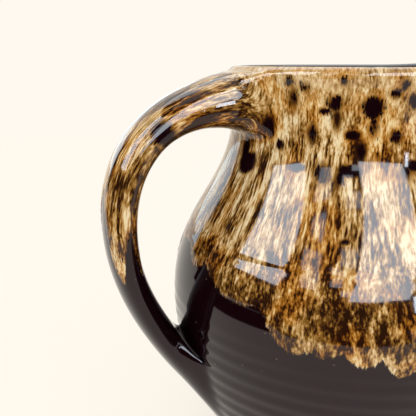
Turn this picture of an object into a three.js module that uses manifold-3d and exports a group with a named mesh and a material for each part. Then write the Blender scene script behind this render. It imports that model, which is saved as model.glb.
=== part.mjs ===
// A wheel-thrown, glazed pottery jug with one pulled handle.
// Millimetres, +Z up. The origin is the centre of the flat base that the jug stands on.
// The handle is on the -X side and the pouring lip on the +X side, so XZ is the plane of symmetry.
// Radii and heights are those of the fired clay, and the glaze coats lie over it.
import * as THREE from "three";
import { mergeVertices } from "three/addons/utils/BufferGeometryUtils.js";
import Module from "manifold-3d";

const { clamp, degToRad } = THREE.MathUtils;
const wasm = await Module();
wasm.setup();

// Thrown body: the shoulder runs from the belly up to the neck, and the throat from there to the crest
const BASE_RADIUS = 50.6;
const BASE_BEVEL = 3;
const BELLY_RADIUS = 78.6;
const BELLY_HEIGHT = 79;
const NECK_RADIUS = 52.6;
const SHOULDER_HEIGHT = 76;
const THROAT_HEIGHT = 19.6;
const RIM_FLARE = 2;
const ROLL_HEIGHT = 4.5;
const ROLL_DEPTH = 0.9;
const CREST_ROUND = 1.5;
const WALL = 5;
const FLOOR = 8;
const FLOOR_CORNER = 8;

// How full the wall's curves are, as shares of the height or width that each one spans
const HEEL_SPREAD = 0.893;
const HEEL_RISE = 0.29;
const BELLY_FALL = 0.138;
const BELLY_RISE = 0.447;
const NECK_FALL = 0.375;

// Pouring lip, drawn out of the rim with a finger while two others hold its cheeks in
const LIP_REACH = 9;
const LIP_RISE = 2.4;
const LIP_DEPTH = 34;
const LIP_SPREAD = degToRad(23);
const LIP_FADE = 1.8;
const CHEEK_PINCH = 2.4;
const CHEEK_PLACE = degToRad(42);
const CHEEK_SPREAD = degToRad(15);

// Pulled handle: a flat strap, thick where it leaves the rim. It is domed outside and flatter inside, so its
// edges lie nearer to the inner face, at a share of its thickness.
const STRAP_THICKNESS = 9.8;
const STRAP_WIDTH = 24;
const STRAP_SQUARENESS = 2.5;
const STRAP_EDGE = 0.3;
const ROOT_UNDER_CREST = 0.85;
const UPPER_ROOT_THICKNESS = 21.5;
const UPPER_ROOT_WIDTH = 30;
const LOWER_ROOT_HEIGHT = 28;
const LOWER_ROOT_WIDTH = 27;
const LOWER_ROOT_SINK = 7;
const LOWER_ROOT_LEAN = degToRad(36);
const ROOT_TAPER = 0.22;
const HAND_CLEARANCE = 26.8;
const BEND_DROP = 47;

// How full the handle's arch is, as shares of the height or reach that each part of it spans
const ARCH_SPRING = 0.67;
const ARCH_RISE = 0.66;
const ARCH_FALL = 0.41;
const ARCH_TUCK = 0.35;

// Joints: the slip that glues the strap's ends, and the coils thumbed into the corners round them.
// A coil's hollow and its fading are shares of its leg, and its burial one of the wall.
const SLIP = 1;
const COIL_LEG = 5;
const COIL_TOE = 1.2;
const COIL_TUCK = 0.5;
const COIL_HOLLOW = 0.44;
const COIL_FADE = 0.3;
const COIL_BURIAL = 0.6;
const UPPER_COIL_TURN = degToRad(125);
const LOWER_COIL_TURN = degToRad(105);

// Glaze coats, from the clay outwards: depths are measured down from the crest
const COAT = 0.4;
const GAP = 0.3;
const BARE_FOOT = 9;
const RIM_DIP = 4;
const DIP_DEPTH = 92.6;
const TONGUE_DEPTH = 80.6;
const TONGUE_SLOPE = 2.6;

// Drips along the edge of the second coat: they crowd together and apart, and hang higher beside the handle
const DRIP_LENGTH = 5;
const DRIPS_ROUND = 17;
const DRIP_CROWDING = degToRad(52);
const CROWDS_ROUND = 5;
const EDGE_SWAY = 2;
const SWAYS_ROUND = 3;
const EDGE_RIPPLE = 1.2;
const RIPPLES_ROUND = 7;
const HANDLE_LIFT = 9;
const HANDLE_LIFT_SPREAD = degToRad(32);

// How far a cutting solid runs past what it cuts, the height over which the wall's slope is taken, and the
// share of a coil's turn over which its direction is
const OVERRUN = 10;
const SLOPE_SPAN = 2;
const TURN_SPAN = 0.01;

// Fineness of the faceted surfaces
const ROUND_STEPS = 36;
const CORNER_STEPS = 2;
const HEEL_STEPS = 5;
const SHOULDER_STEPS = 6;
const THROAT_STEPS = 3;
const CREST_STEPS = 2;
const DRIP_STEPS = 108;
const STRAP_STEPS = 22;
const STRAP_SIDES = 12;
const COIL_STEPS = 14;
const CRUMB_VOLUME = 0.01;
const HALVINGS = 30;

const FINISHES = {
  clay: { color: 0xb08a63, roughness: 0.85 },
  slip: { color: 0x9c7650, roughness: 0.9 },
  liningGlaze: { color: 0x2a1a12, roughness: 0.12 },
  darkGlaze: { color: 0x1d1412, roughness: 0.12 },
  streakedGlaze: { color: 0x9a6a2c, roughness: 0.12 },
};

const rimRadius = NECK_RADIUS + RIM_FLARE;
const neckHeight = BELLY_HEIGHT + SHOULDER_HEIGHT;
const crestHeight = neckHeight + THROAT_HEIGHT;
const overMouth = crestHeight + OVERRUN;

// Profiles, as lines of (radius, height)

function point(radius, height) {
  return new THREE.Vector2(radius, height);
}

function curve(start, startHandle, endHandle, end, steps) {
  return new THREE.CubicBezierCurve(start, startHandle, endHandle, end).getPoints(steps);
}

// The outside of the clay wall, from the bevel over the base up to where the crest begins to round.
const wallLine = (() => {
  const base = point(BASE_RADIUS, BASE_BEVEL);
  const belly = point(BELLY_RADIUS, BELLY_HEIGHT);
  const neck = point(NECK_RADIUS, neckHeight);
  const rollTop = point(rimRadius, crestHeight - CREST_ROUND);
  const rollStart = point(rimRadius - ROLL_DEPTH, rollTop.y - ROLL_HEIGHT);
  const [heelWidth, heelHeight] = [belly.x - base.x, belly.y - base.y];
  const heel = curve(
    base,
    point(base.x + HEEL_SPREAD * heelWidth, base.y + HEEL_RISE * heelHeight),
    point(belly.x, belly.y - BELLY_FALL * heelHeight),
    belly,
    HEEL_STEPS,
  );
  const shoulder = curve(
    belly,
    point(belly.x, belly.y + BELLY_RISE * SHOULDER_HEIGHT),
    point(neck.x, neck.y - NECK_FALL * SHOULDER_HEIGHT),
    neck,
    SHOULDER_STEPS,
  );
  const throatControl = point(neck.x, (neck.y + rollStart.y) / 2);
  const throat = new THREE.QuadraticBezierCurve(neck, throatControl, rollStart).getPoints(THROAT_STEPS);
  const rollMiddle = point(rimRadius, rollTop.y - ROLL_HEIGHT / 2);
  return [...heel, ...shoulder.slice(1), ...throat.slice(1), rollMiddle, rollTop];
})();

// The line moved square to itself: outwards, as the wall runs up, or inwards by a negative distance.
function offsetLine(line, distance) {
  return line.map((place, index) => {
    const before = line[Math.max(index - 1, 0)];
    const after = line[Math.min(index + 1, line.length - 1)];
    const along = after.clone().sub(before).normalize();
    return point(place.x + along.y * distance, place.y - along.x * distance);
  });
}

// Radius of the clay wall's outside at a height.
function wallRadius(height) {
  const level = clamp(height, wallLine[0].y, wallLine[wallLine.length - 1].y);
  const above = Math.max(1, wallLine.findIndex((place) => place.y >= level));
  const [low, high] = [wallLine[above - 1], wallLine[above]];
  return low.x + ((high.x - low.x) * (level - low.y)) / (high.y - low.y);
}

// How far the wall's outside leans out for its rise, taken over a short span about a height.
function wallSlope(height) {
  return (wallRadius(height + SLOPE_SPAN / 2) - wallRadius(height - SLOPE_SPAN / 2)) / SLOPE_SPAN;
}

// The inside of the clay wall, from the middle of the floor round its corner and up to the crest.
const insideLine = (() => {
  const wall = offsetLine(wallLine, -WALL).slice(0, -1);
  const above = Math.max(1, wall.findIndex((place) => place.y > FLOOR));
  const [low, high] = [wall[above - 1], wall[above]];
  const corner = low.clone().lerp(high, (FLOOR - low.y) / (high.y - low.y));
  const reach = Math.min(FLOOR_CORNER, corner.distanceTo(high) / 2);
  const cornerStart = point(corner.x - reach, FLOOR);
  const cornerEnd = corner.clone().lerp(high, reach / corner.distanceTo(high));
  const round = new THREE.QuadraticBezierCurve(cornerStart, corner, cornerEnd).getPoints(CORNER_STEPS);
  return [point(0, FLOOR), ...round, ...wall.slice(above)];
})();

// A quarter round of the crest about a centre at the given radius, between two angles.
function crestRound(radius, size, from, to) {
  return Array.from({ length: CREST_STEPS + 1 }, (_, step) => {
    const angle = from + ((to - from) * step) / CREST_STEPS;
    return point(radius + size * Math.cos(angle), crestHeight - CREST_ROUND + size * Math.sin(angle));
  });
}

// The inside line under a coat of the given depth, run up and over the inner half of the crest.
function hollowLine(coat) {
  const round = crestRound(rimRadius - WALL + CREST_ROUND, CREST_ROUND + coat, Math.PI, Math.PI / 2);
  return [...offsetLine(insideLine, -coat), ...round];
}

// Closed solids for cutting and joining

function solidOf(geometry) {
  const bare = geometry.clone();
  bare.deleteAttribute("normal");
  bare.deleteAttribute("uv");
  const merged = mergeVertices(bare);
  const corners = [];
  for (let i = 0; i < merged.index.count; i += 3) {
    const [a, b, c] = [0, 1, 2].map((corner) => merged.index.getX(i + corner));
    if (a !== b && b !== c && c !== a) corners.push(a, b, c);
  }
  const vertProperties = merged.attributes.position.array;
  return new wasm.Manifold(new wasm.Mesh({ numProp: 3, vertProperties, triVerts: new Uint32Array(corners) }));
}

function geometryOf(solid) {
  const { vertProperties, triVerts } = solid.getMesh();
  const geometry = new THREE.BufferGeometry();
  geometry.setAttribute("position", new THREE.BufferAttribute(vertProperties, 3));
  geometry.setIndex(new THREE.BufferAttribute(triVerts, 1));
  geometry.computeVertexNormals();
  return geometry;
}

// The solid without the crumbs, thinner than dust, that a grazing cut can leave beside it.
function withoutCrumbs(solid) {
  const bodies = solid.decompose().filter((body) => Math.abs(body.volume()) > CRUMB_VOLUME);
  return bodies.reduce((whole, body) => whole.add(body));
}

function block(low, high) {
  const size = high.clone().sub(low);
  const centre = high.clone().add(low).multiplyScalar(0.5);
  return solidOf(new THREE.BoxGeometry(size.x, size.y, size.z).translate(centre.x, centre.y, centre.z));
}

// The rim drawn out to a lip, with its cheeks drawn in beside it, fading out down the neck.
// Near the axis, where only floors and plugs reach, nothing is drawn.
function pullLip(geometry) {
  const places = geometry.attributes.position;
  const fullFrom = NECK_RADIUS / 2;
  for (let i = 0; i < places.count; i++) {
    const [x, y, z] = [places.getX(i), places.getY(i), places.getZ(i)];
    const radius = Math.hypot(x, y);
    const turn = Math.atan2(y, x);
    const height = clamp((z - crestHeight + LIP_DEPTH) / LIP_DEPTH, 0, 1);
    const fade = height ** LIP_FADE * Math.min(1, radius / fullFrom) ** 2;
    const lip = fade * Math.exp(-((turn / LIP_SPREAD) ** 2));
    const cheek = fade * Math.exp(-(((Math.abs(turn) - CHEEK_PLACE) / CHEEK_SPREAD) ** 2));
    const drawn = radius + LIP_REACH * lip - CHEEK_PINCH * cheek;
    places.setXYZ(i, drawn * Math.cos(turn), drawn * Math.sin(turn), z + LIP_RISE * lip);
  }
  return geometry;
}

// A profile turned on the wheel about Z, with the lip drawn out of it.
function thrown(profile) {
  const turned = new THREE.LatheGeometry(profile, ROUND_STEPS).rotateX(Math.PI / 2);
  return solidOf(pullLip(turned));
}

// The jug as a full lump of its outside shape, under coats of the given depth.
function fullShape(coat) {
  const crest = crestRound(rimRadius - CREST_ROUND, CREST_ROUND + coat, 0, Math.PI / 2);
  return thrown([
    point(0, 0),
    point(BASE_RADIUS - BASE_BEVEL, 0),
    ...offsetLine(wallLine, coat).slice(0, -1),
    ...crest,
    point(0, crestHeight + coat),
  ]);
}

// The space inside the wall and its coats, run up through the mouth.
function hollowShape(coat) {
  const line = hollowLine(coat);
  return thrown([...line, point(line[line.length - 1].x, overMouth), point(0, overMouth)]);
}

// A plug whose side runs up the middle of the wall, or inset from it, and through the crest.
function middlePlug(inset) {
  const line = offsetLine(wallLine, -WALL / 2 - inset);
  const top = line[line.length - 1].x;
  const mouth = [point(top, crestHeight), point(top, overMouth), point(0, overMouth)];
  return thrown([point(0, line[0].y), ...line, ...mouth]);
}

// A closed solid through rings of equal count, its flat ends filled as the outline is.
function loftSolid(rings, outline) {
  const sides = outline.length;
  const index = [];
  for (let ring = 0; ring < rings.length - 1; ring++) {
    for (let side = 0; side < sides; side++) {
      const [a, b] = [ring * sides + side, ring * sides + ((side + 1) % sides)];
      index.push(a, b, b + sides, a, b + sides, a + sides);
    }
  }
  const last = (rings.length - 1) * sides;
  for (const [a, b, c] of THREE.ShapeUtils.triangulateShape(outline, [])) {
    index.push(a, c, b);
    index.push(last + a, last + b, last + c);
  }
  const geometry = new THREE.BufferGeometry();
  const places = rings.flat().flatMap((place) => place.toArray());
  geometry.setAttribute("position", new THREE.Float32BufferAttribute(places, 3));
  geometry.setIndex(index);
  return solidOf(geometry);
}

// Handle strap

const handleReach = BELLY_RADIUS + HAND_CLEARANCE;
const upperRootHeight = crestHeight - ROOT_UNDER_CREST - UPPER_ROOT_THICKNESS / 2;
const bendHeight = upperRootHeight - BEND_DROP;
const beyond = 2 * handleReach;

// The strap's middle line in the XZ plane: from inside the neck wall, out and down, and into the belly wall.
const handlePath = (() => {
  const start = new THREE.Vector3(WALL - wallRadius(upperRootHeight), 0, upperRootHeight);
  const bend = new THREE.Vector3(-handleReach, 0, bendHeight);
  const end = new THREE.Vector3(LOWER_ROOT_SINK - wallRadius(LOWER_ROOT_HEIGHT), 0, LOWER_ROOT_HEIGHT);
  const fall = bendHeight - LOWER_ROOT_HEIGHT;
  const leaning = new THREE.Vector3(-Math.sin(LOWER_ROOT_LEAN), 0, Math.cos(LOWER_ROOT_LEAN));
  const path = new THREE.CurvePath();
  path.add(
    new THREE.CubicBezierCurve3(
      start,
      new THREE.Vector3(start.x - ARCH_SPRING * (handleReach + start.x), 0, start.z),
      new THREE.Vector3(bend.x, 0, bend.z + ARCH_RISE * BEND_DROP),
      bend,
    ),
  );
  path.add(
    new THREE.CubicBezierCurve3(
      bend,
      new THREE.Vector3(bend.x, 0, bend.z - ARCH_FALL * fall),
      end.clone().addScaledVector(leaning, ARCH_TUCK * fall),
      end,
    ),
  );
  return path;
})();

// The strap's width and thickness at a share of its length: it swells towards each end.
function strapSize(share) {
  const swelling = (fromEnd) => Math.max(0, 1 - fromEnd / ROOT_TAPER) ** 2;
  const [upper, lower] = [swelling(share), swelling(1 - share)];
  return {
    width: STRAP_WIDTH + (UPPER_ROOT_WIDTH - STRAP_WIDTH) * upper + (LOWER_ROOT_WIDTH - STRAP_WIDTH) * lower,
    thickness: STRAP_THICKNESS + (UPPER_ROOT_THICKNESS - STRAP_THICKNESS) * upper,
  };
}

// The strap's section: a flattened oval, wide along Y and thin the other way, with its dome outwards.
function strapOutline(halfWidth, halfThickness) {
  const oval = (wave) => Math.sign(wave) * Math.abs(wave) ** (2 / STRAP_SQUARENESS);
  const edge = (2 * STRAP_EDGE - 1) * halfThickness;
  return Array.from({ length: STRAP_SIDES }, (_, side) => {
    const angle = (2 * Math.PI * side) / STRAP_SIDES;
    const out = oval(Math.sin(angle));
    const rise = out > 0 ? halfThickness - edge : halfThickness + edge;
    return point(oval(Math.cos(angle)) * halfWidth, edge + out * rise);
  });
}

function strapShape(coat) {
  const across = new THREE.Vector3(0, -1, 0);
  const rings = [];
  let outline;
  for (let step = 0; step <= STRAP_STEPS; step++) {
    const share = step / STRAP_STEPS;
    const centre = handlePath.getPointAt(share);
    const outwards = new THREE.Vector3().crossVectors(handlePath.getTangentAt(share), across);
    const { width, thickness } = strapSize(share);
    outline = strapOutline(width / 2 + coat, thickness / 2 + coat);
    const placed = ({ x, y }) => centre.clone().addScaledVector(across, x).addScaledVector(outwards, y);
    rings.push(outline.map(placed));
  }
  return loftSolid(rings, outline);
}

// Joints of strap and wall

// The share of the strap's length where its middle line comes out of the wall, near its end 0 or 1.
function wallCrossing(end) {
  let [buried, clear] = [end, 0.5];
  for (let halving = 0; halving < HALVINGS; halving++) {
    const share = (buried + clear) / 2;
    const place = handlePath.getPointAt(share);
    if (-place.x < wallRadius(place.z)) buried = share;
    else clear = share;
  }
  return buried;
}

// The oval on the wall that a coil follows: the strap's own print there, with the coil tucked in a little.
// upwards is 1 where the coil's middle is over the joint, and -1 where it is under it.
function jointAt(end, upwards, turn) {
  const share = wallCrossing(end);
  const place = handlePath.getPointAt(share);
  const upWall = new THREE.Vector3(-wallSlope(place.z), 0, 1).normalize();
  const spread = new THREE.Vector3().crossVectors(handlePath.getTangentAt(share), upWall).length();
  const { width, thickness } = strapSize(share);
  return {
    centreHeight: place.z,
    halfHeight: thickness / 2 / spread - COIL_TUCK,
    halfWidth: width / 2 - COIL_TUCK,
    upwards,
    turn,
  };
}

const upperJoint = jointAt(0, -1, UPPER_COIL_TURN);
const lowerJoint = jointAt(1, 1, LOWER_COIL_TURN);

// A coil of clay in the corner between strap and wall, round one side of the joint: it has a leg up the strap
// and one along the wall, a hollow thumbed face, and thinner ends. Its back is buried in both, and a coat
// lengthens it past both ends.
function coilShape({ centreHeight, halfHeight, halfWidth, upwards, turn }, coat) {
  const onWall = (angle) => {
    const y = halfWidth * Math.sin(angle);
    const z = centreHeight + upwards * halfHeight * Math.cos(angle);
    return new THREE.Vector3(-Math.sqrt(wallRadius(z) ** 2 - y ** 2), y, z);
  };
  const normalAt = ({ x, y, z }) => {
    const radius = Math.hypot(x, y);
    return new THREE.Vector3(x / radius, y / radius, -wallSlope(z)).normalize();
  };
  const nearby = turn * TURN_SPAN;
  const buried = -COIL_BURIAL * WALL;
  const rings = [];
  let outline;
  for (let step = 0; step <= COIL_STEPS; step++) {
    const fromMiddle = (2 * step) / COIL_STEPS - 1;
    const angle = turn * fromMiddle;
    const normal = normalAt(onWall(angle));
    const along = onWall(angle + nearby).sub(onWall(angle - nearby)).normalize();
    const overEnd = Math.abs(fromMiddle) === 1 ? coat * fromMiddle : 0;
    const place = onWall(angle).addScaledVector(along, overEnd);
    const away = new THREE.Vector3().crossVectors(along, normal).multiplyScalar(upwards);
    const leg = COIL_LEG * (1 - COIL_FADE * fromMiddle ** 2);
    const hollow = leg * COIL_HOLLOW + coat * Math.SQRT1_2;
    outline = [
      point(buried, buried),
      point(leg + coat, buried),
      point(leg + coat, COIL_TOE + coat),
      point(hollow, hollow),
      point(COIL_TOE + coat, leg + coat),
      point(buried, leg + coat),
    ];
    const placed = ({ x, y }) => place.clone().addScaledVector(away, x).addScaledVector(normal, y);
    rings.push(outline.map(placed));
  }
  if (upwards > 0) rings.reverse();
  return loftSolid(rings, outline);
}

// Everything on the outside that glaze goes round, grown by the coats under it.
function outsideShape(coat) {
  const coils = coilShape(upperJoint, coat).add(coilShape(lowerJoint, coat));
  return fullShape(coat).add(strapShape(coat)).add(coils);
}

// Clay pieces

function thrownBody() {
  return fullShape(0).subtract(hollowShape(0));
}

function pulledHandle() {
  return strapShape(0).subtract(fullShape(SLIP + 2 * GAP));
}

// The slip under the strap's ends, upper and lower, told apart at the height of the handle's bend.
function slips() {
  const layer = fullShape(SLIP + GAP).subtract(fullShape(GAP));
  const both = strapShape(0).intersect(layer);
  const low = new THREE.Vector3(-beyond, -beyond, bendHeight);
  const upperHalf = block(low, new THREE.Vector3(beyond, beyond, overMouth));
  return [both.intersect(upperHalf), both.subtract(upperHalf)];
}

function coil(joint) {
  return coilShape(joint, 0).subtract(fullShape(GAP)).subtract(strapShape(GAP));
}

// Glaze coats

// The whole jug, hollow and with its handle, under coats of the given depth inside and out.
function coatedJug(depth) {
  return outsideShape(depth).subtract(hollowShape(depth));
}

// One coat all over, on top of what is under it.
function coatOver(under) {
  return coatedJug(under + COAT).subtract(coatedJug(under));
}

function liningGlaze() {
  return coatOver(GAP).intersect(middlePlug(GAP));
}

function darkGlaze() {
  const low = new THREE.Vector3(-beyond, -beyond, -OVERRUN);
  const high = new THREE.Vector3(beyond, beyond, BARE_FOOT);
  return coatOver(GAP).subtract(middlePlug(0)).subtract(block(low, high));
}

// Height where the second glaze stopped running, at a turn round the body.
function dripHeight(turn) {
  const drips = Math.cos(DRIPS_ROUND * turn + DRIP_CROWDING * Math.sin(CROWDS_ROUND * turn));
  const sway = EDGE_SWAY * Math.sin(SWAYS_ROUND * turn) + EDGE_RIPPLE * Math.cos(RIPPLES_ROUND * turn);
  const fromHandle = Math.PI - Math.abs(turn);
  const lift = HANDLE_LIFT * Math.exp(-((fromHandle / HANDLE_LIFT_SPREAD) ** 2));
  return crestHeight - DIP_DEPTH + (DRIP_LENGTH * drips) / 2 + sway + lift;
}

// All that the second dip reached round the body, down to the drips. It ends just outside the glazed belly,
// short of the strap, which has a tongue of its own.
function dippedBody() {
  const [inner, outer] = [rimRadius - 2 * WALL, BELLY_RADIUS + 2 * COAT + 3 * GAP];
  const corners = [point(inner, 0), point(outer, 0), point(outer, overMouth), point(inner, overMouth)];
  const ring = new THREE.LatheGeometry([...corners, point(inner, 0)], DRIP_STEPS).rotateX(Math.PI / 2);
  const places = ring.attributes.position;
  for (let i = 0; i < places.count; i++) {
    const [x, y, z] = [places.getX(i), places.getY(i), places.getZ(i)];
    if (z < overMouth / 2) places.setZ(i, dripHeight(Math.atan2(y, x)));
  }
  return solidOf(ring);
}

// All that the second dip reached on the strap, clear of the belly: it ends in a pointed tongue.
function dippedStrap() {
  const tip = crestHeight - TONGUE_DEPTH;
  const shoulder = tip + TONGUE_SLOPE * STRAP_WIDTH;
  const tongue = new THREE.Shape([
    point(0, tip),
    point(STRAP_WIDTH, shoulder),
    point(STRAP_WIDTH, overMouth),
    point(-STRAP_WIDTH, overMouth),
    point(-STRAP_WIDTH, shoulder),
  ]);
  const [far, near] = [handleReach + STRAP_THICKNESS, BELLY_RADIUS];
  const standing = new THREE.Matrix4().makeBasis(
    new THREE.Vector3(0, 1, 0),
    new THREE.Vector3(0, 0, 1),
    new THREE.Vector3(1, 0, 0),
  );
  const prism = new THREE.ExtrudeGeometry(tongue, { depth: far - near, bevelEnabled: false });
  return solidOf(prism.applyMatrix4(standing).translate(-far, 0, 0));
}

// All that the second dip reached inside the mouth.
function dippedMouth() {
  const low = new THREE.Vector3(-beyond, -beyond, crestHeight - RIM_DIP);
  return middlePlug(0).intersect(block(low, new THREE.Vector3(beyond, beyond, overMouth + OVERRUN)));
}

function streakedGlaze() {
  const dipped = dippedBody().add(dippedStrap()).subtract(middlePlug(0)).add(dippedMouth());
  return coatOver(2 * GAP + COAT).intersect(dipped);
}

// Assembly

const jug = new THREE.Group();

function addPiece(name, solid, finish) {
  const piece = new THREE.Mesh(
    geometryOf(withoutCrumbs(solid)),
    new THREE.MeshStandardMaterial({ ...finish, metalness: 0 }),
  );
  piece.name = name;
  jug.add(piece);
}

const [upperSlip, lowerSlip] = slips();
addPiece("thrown_body", thrownBody(), FINISHES.clay);
addPiece("pulled_handle", pulledHandle(), FINISHES.clay);
addPiece("upper_slip", upperSlip, FINISHES.slip);
addPiece("lower_slip", lowerSlip, FINISHES.slip);
addPiece("upper_coil", coil(upperJoint), FINISHES.clay);
addPiece("lower_coil", coil(lowerJoint), FINISHES.clay);
addPiece("lining_glaze", liningGlaze(), FINISHES.liningGlaze);
addPiece("dark_glaze", darkGlaze(), FINISHES.darkGlaze);
addPiece("streaked_glaze", streakedGlaze(), FINISHES.streakedGlaze);

export default jug;
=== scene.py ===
"""Looks of a clay jug: thrown on a wheel, with a pulled handle, two flowing glazes and a bare foot.

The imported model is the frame, in metres, with +Z up, the handle towards -X and the pouring lip towards +X.
Every size below is in millimetres, of the finished and glazed surface, unless its name says otherwise.
An angle called a turn is measured round +Z from +X.
"""

import logging
import math
import random
from collections.abc import Callable, Sequence
from dataclasses import dataclass, field
from enum import Enum

import bmesh
import bpy
import numpy as np
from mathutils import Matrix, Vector


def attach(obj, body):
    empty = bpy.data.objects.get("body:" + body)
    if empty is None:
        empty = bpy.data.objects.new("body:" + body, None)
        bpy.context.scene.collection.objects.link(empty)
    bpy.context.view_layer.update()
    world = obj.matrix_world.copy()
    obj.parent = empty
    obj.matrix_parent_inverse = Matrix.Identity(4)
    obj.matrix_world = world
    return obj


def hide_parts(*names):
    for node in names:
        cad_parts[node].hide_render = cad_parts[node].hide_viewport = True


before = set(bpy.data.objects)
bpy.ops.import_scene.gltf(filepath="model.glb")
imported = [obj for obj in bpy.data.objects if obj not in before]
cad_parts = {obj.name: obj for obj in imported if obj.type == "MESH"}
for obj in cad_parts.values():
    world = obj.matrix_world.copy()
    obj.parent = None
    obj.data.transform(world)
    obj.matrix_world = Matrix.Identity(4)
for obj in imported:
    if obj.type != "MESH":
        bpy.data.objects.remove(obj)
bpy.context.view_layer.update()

log = logging.getLogger("clay_jug")

# Two numbers, such as a range or a point as (radius, height), and the output of a node
Pair = tuple[float, float]
Output = bpy.types.NodeSocket

MM = 0.001
BODY = "root"
HANDLE_TURN = math.pi
CAMERA_TURN = math.radians(236)

# Points round each ring, the thickness of lining and first coat, and the wall's radius in the glaze's flow
COLUMNS = 48
COAT = 0.5
FLOW_RADIUS = 54.0


class Coat(Enum):
    """The glaze coats of the jug, by the name of the record's material slot."""

    LINING = "lining_glaze"
    DARK = "dark_glaze"
    STREAKED = "streaked_glaze"


GLAZE_NAMES = {
    Coat.LINING: "iron_brown_lining_glaze",
    Coat.DARK: "iron_black_stoneware_glaze",
    Coat.STREAKED: "run_rutile_tan_glaze",
}


# Shared mesh tools


def smooth_step(low: float, high: float, value: np.ndarray) -> np.ndarray:
    """Rises from 0 to 1 with level ends.

    Args:
        low: Where the rise starts.
        high: Where the rise ends.
        value: The numbers to look up.

    Returns:
        The share risen at each number.
    """
    share = np.clip((value - low) / (high - low), 0, 1)
    return share * share * (3 - 2 * share)


def bezier(points: Sequence[Pair], steps: int) -> np.ndarray:
    """Points along a cubic Bezier curve in a plane.

    Args:
        points: Its start, its two handles and its end.
        steps: How many steps to take along it.

    Returns:
        One row for each of the steps + 1 points.
    """
    start, first, second, end = (np.array(place, float) for place in points)
    t = np.linspace(0, 1, steps + 1)[:, None]
    rest = 1 - t
    return start * rest**3 + 3 * first * rest**2 * t + 3 * second * rest * t**2 + end * t**3


def around_axis(places: np.ndarray) -> tuple[np.ndarray, np.ndarray]:
    """The turn and the radius of each point about the jug's axis."""
    return np.arctan2(places[:, 1], places[:, 0]), np.hypot(places[:, 0], places[:, 1])


def at_turns(turn: np.ndarray, radius: np.ndarray | float, height: np.ndarray) -> np.ndarray:
    """Points by turn, radius and height, one row each."""
    return np.column_stack((radius * np.cos(turn), radius * np.sin(turn), height))


def deselect_all() -> None:
    """Leaves edit mode and deselects every object."""
    if bpy.context.mode != "OBJECT":
        bpy.ops.object.mode_set(mode="OBJECT")
    bpy.ops.object.select_all(action="DESELECT")


def pick(*objects: bpy.types.Object) -> None:
    """Selects only these objects and makes the first one active.

    Args:
        objects: The objects to work on.
    """
    deselect_all()
    for thing in objects:
        thing.select_set(True)
    bpy.context.view_layer.objects.active = objects[0]


def extruded(name: str, rings: Sequence[np.ndarray]) -> bpy.types.Object:
    """Extrudes a tube through rings of equal count, left in edit mode with its last ring selected.

    Args:
        name: The object's name.
        rings: The rings from one end to the other, in metres.

    Returns:
        The new object.
    """
    deselect_all()
    bpy.ops.mesh.primitive_circle_add(vertices=len(rings[0]))
    tube = bpy.context.object
    tube.name = tube.data.name = name
    tube.data.vertices.foreach_set("co", rings[0].ravel())
    bpy.ops.object.mode_set(mode="EDIT")
    bpy.ops.mesh.select_mode(type="EDGE")
    bpy.ops.mesh.select_all(action="SELECT")
    for before, after in zip(rings, rings[1:]):
        bpy.ops.mesh.extrude_region_move()
        mesh = bmesh.from_edit_mesh(tube.data)
        for corner in [corner for corner in mesh.verts if corner.select]:
            nearest = np.argmin(((before - np.array(corner.co)) ** 2).sum(1))
            corner.co = after[nearest]
        bmesh.update_edit_mesh(tube.data)
    return tube


def turned(name: str, line: Sequence[Pair]) -> bpy.types.Object:
    """Extrudes a line round the jug's axis, left in edit mode with its last ring selected.

    Args:
        name: The object's name.
        line: Its points as (radius, height), in millimetres.

    Returns:
        The new object.
    """
    turns = 2 * math.pi * np.arange(COLUMNS) / COLUMNS
    return extruded(name, [at_turns(turns, radius, np.full(COLUMNS, height)) * MM for radius, height in line])


def face_all(inwards: bool = False) -> None:
    """Faces the whole mesh in edit mode one way, and leaves edit mode."""
    bpy.ops.mesh.select_all(action="SELECT")
    bpy.ops.mesh.normals_make_consistent(inside=inwards)
    bpy.ops.object.mode_set(mode="OBJECT")


def select_where(
    thing: bpy.types.Object, kind: str, test: Callable[[bmesh.types.BMEdge | bmesh.types.BMFace], bool]
) -> None:
    """Selects edges or faces of the object in edit mode.

    Args:
        thing: The object in edit mode.
        kind: "edges" or "faces".
        test: Says whether one of them is selected.
    """
    bpy.ops.mesh.select_all(action="DESELECT")
    bpy.ops.mesh.select_mode(type="EDGE" if kind == "edges" else "FACE")
    mesh = bmesh.from_edit_mesh(thing.data)
    for element in getattr(mesh, kind):
        if test(element):
            element.select_set(True)
    mesh.select_flush_mode()
    bmesh.update_edit_mesh(thing.data)


def middle(element: bmesh.types.BMEdge | bmesh.types.BMFace) -> Vector:
    """The middle of an edge or a face."""
    return sum((corner.co for corner in element.verts), Vector()) / len(element.verts)


def add_modifier(thing: bpy.types.Object, kind: str, **settings: object) -> None:
    """Adds a modifier and applies it.

    Args:
        thing: The object to change.
        kind: The modifier's type.
        settings: Its properties by name.
    """
    pick(thing)
    modifier = thing.modifiers.new(kind.title(), kind)
    for name, value in settings.items():
        setattr(modifier, name, value)
    bpy.ops.object.modifier_apply(modifier=modifier.name)


def corners_of(thing: bpy.types.Object) -> np.ndarray:
    """The places of the mesh's vertices, in millimetres, one row each."""
    places = np.empty(len(thing.data.vertices) * 3)
    thing.data.vertices.foreach_get("co", places)
    return places.reshape(-1, 3) / MM


def normals_of(thing: bpy.types.Object) -> np.ndarray:
    """The unit normals of the mesh's vertices, one row each."""
    normals = np.empty(len(thing.data.vertices) * 3, np.float32)
    thing.data.vertex_normals.foreach_get("vector", normals)
    return normals.reshape(-1, 3).astype(float)


def place_corners(thing: bpy.types.Object, places: np.ndarray) -> None:
    """Moves the mesh's vertices.

    Args:
        thing: The object to change.
        places: The new places, in millimetres, one row each.
    """
    thing.data.vertices.foreach_set("co", (places * MM).ravel())
    thing.data.update()


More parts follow.
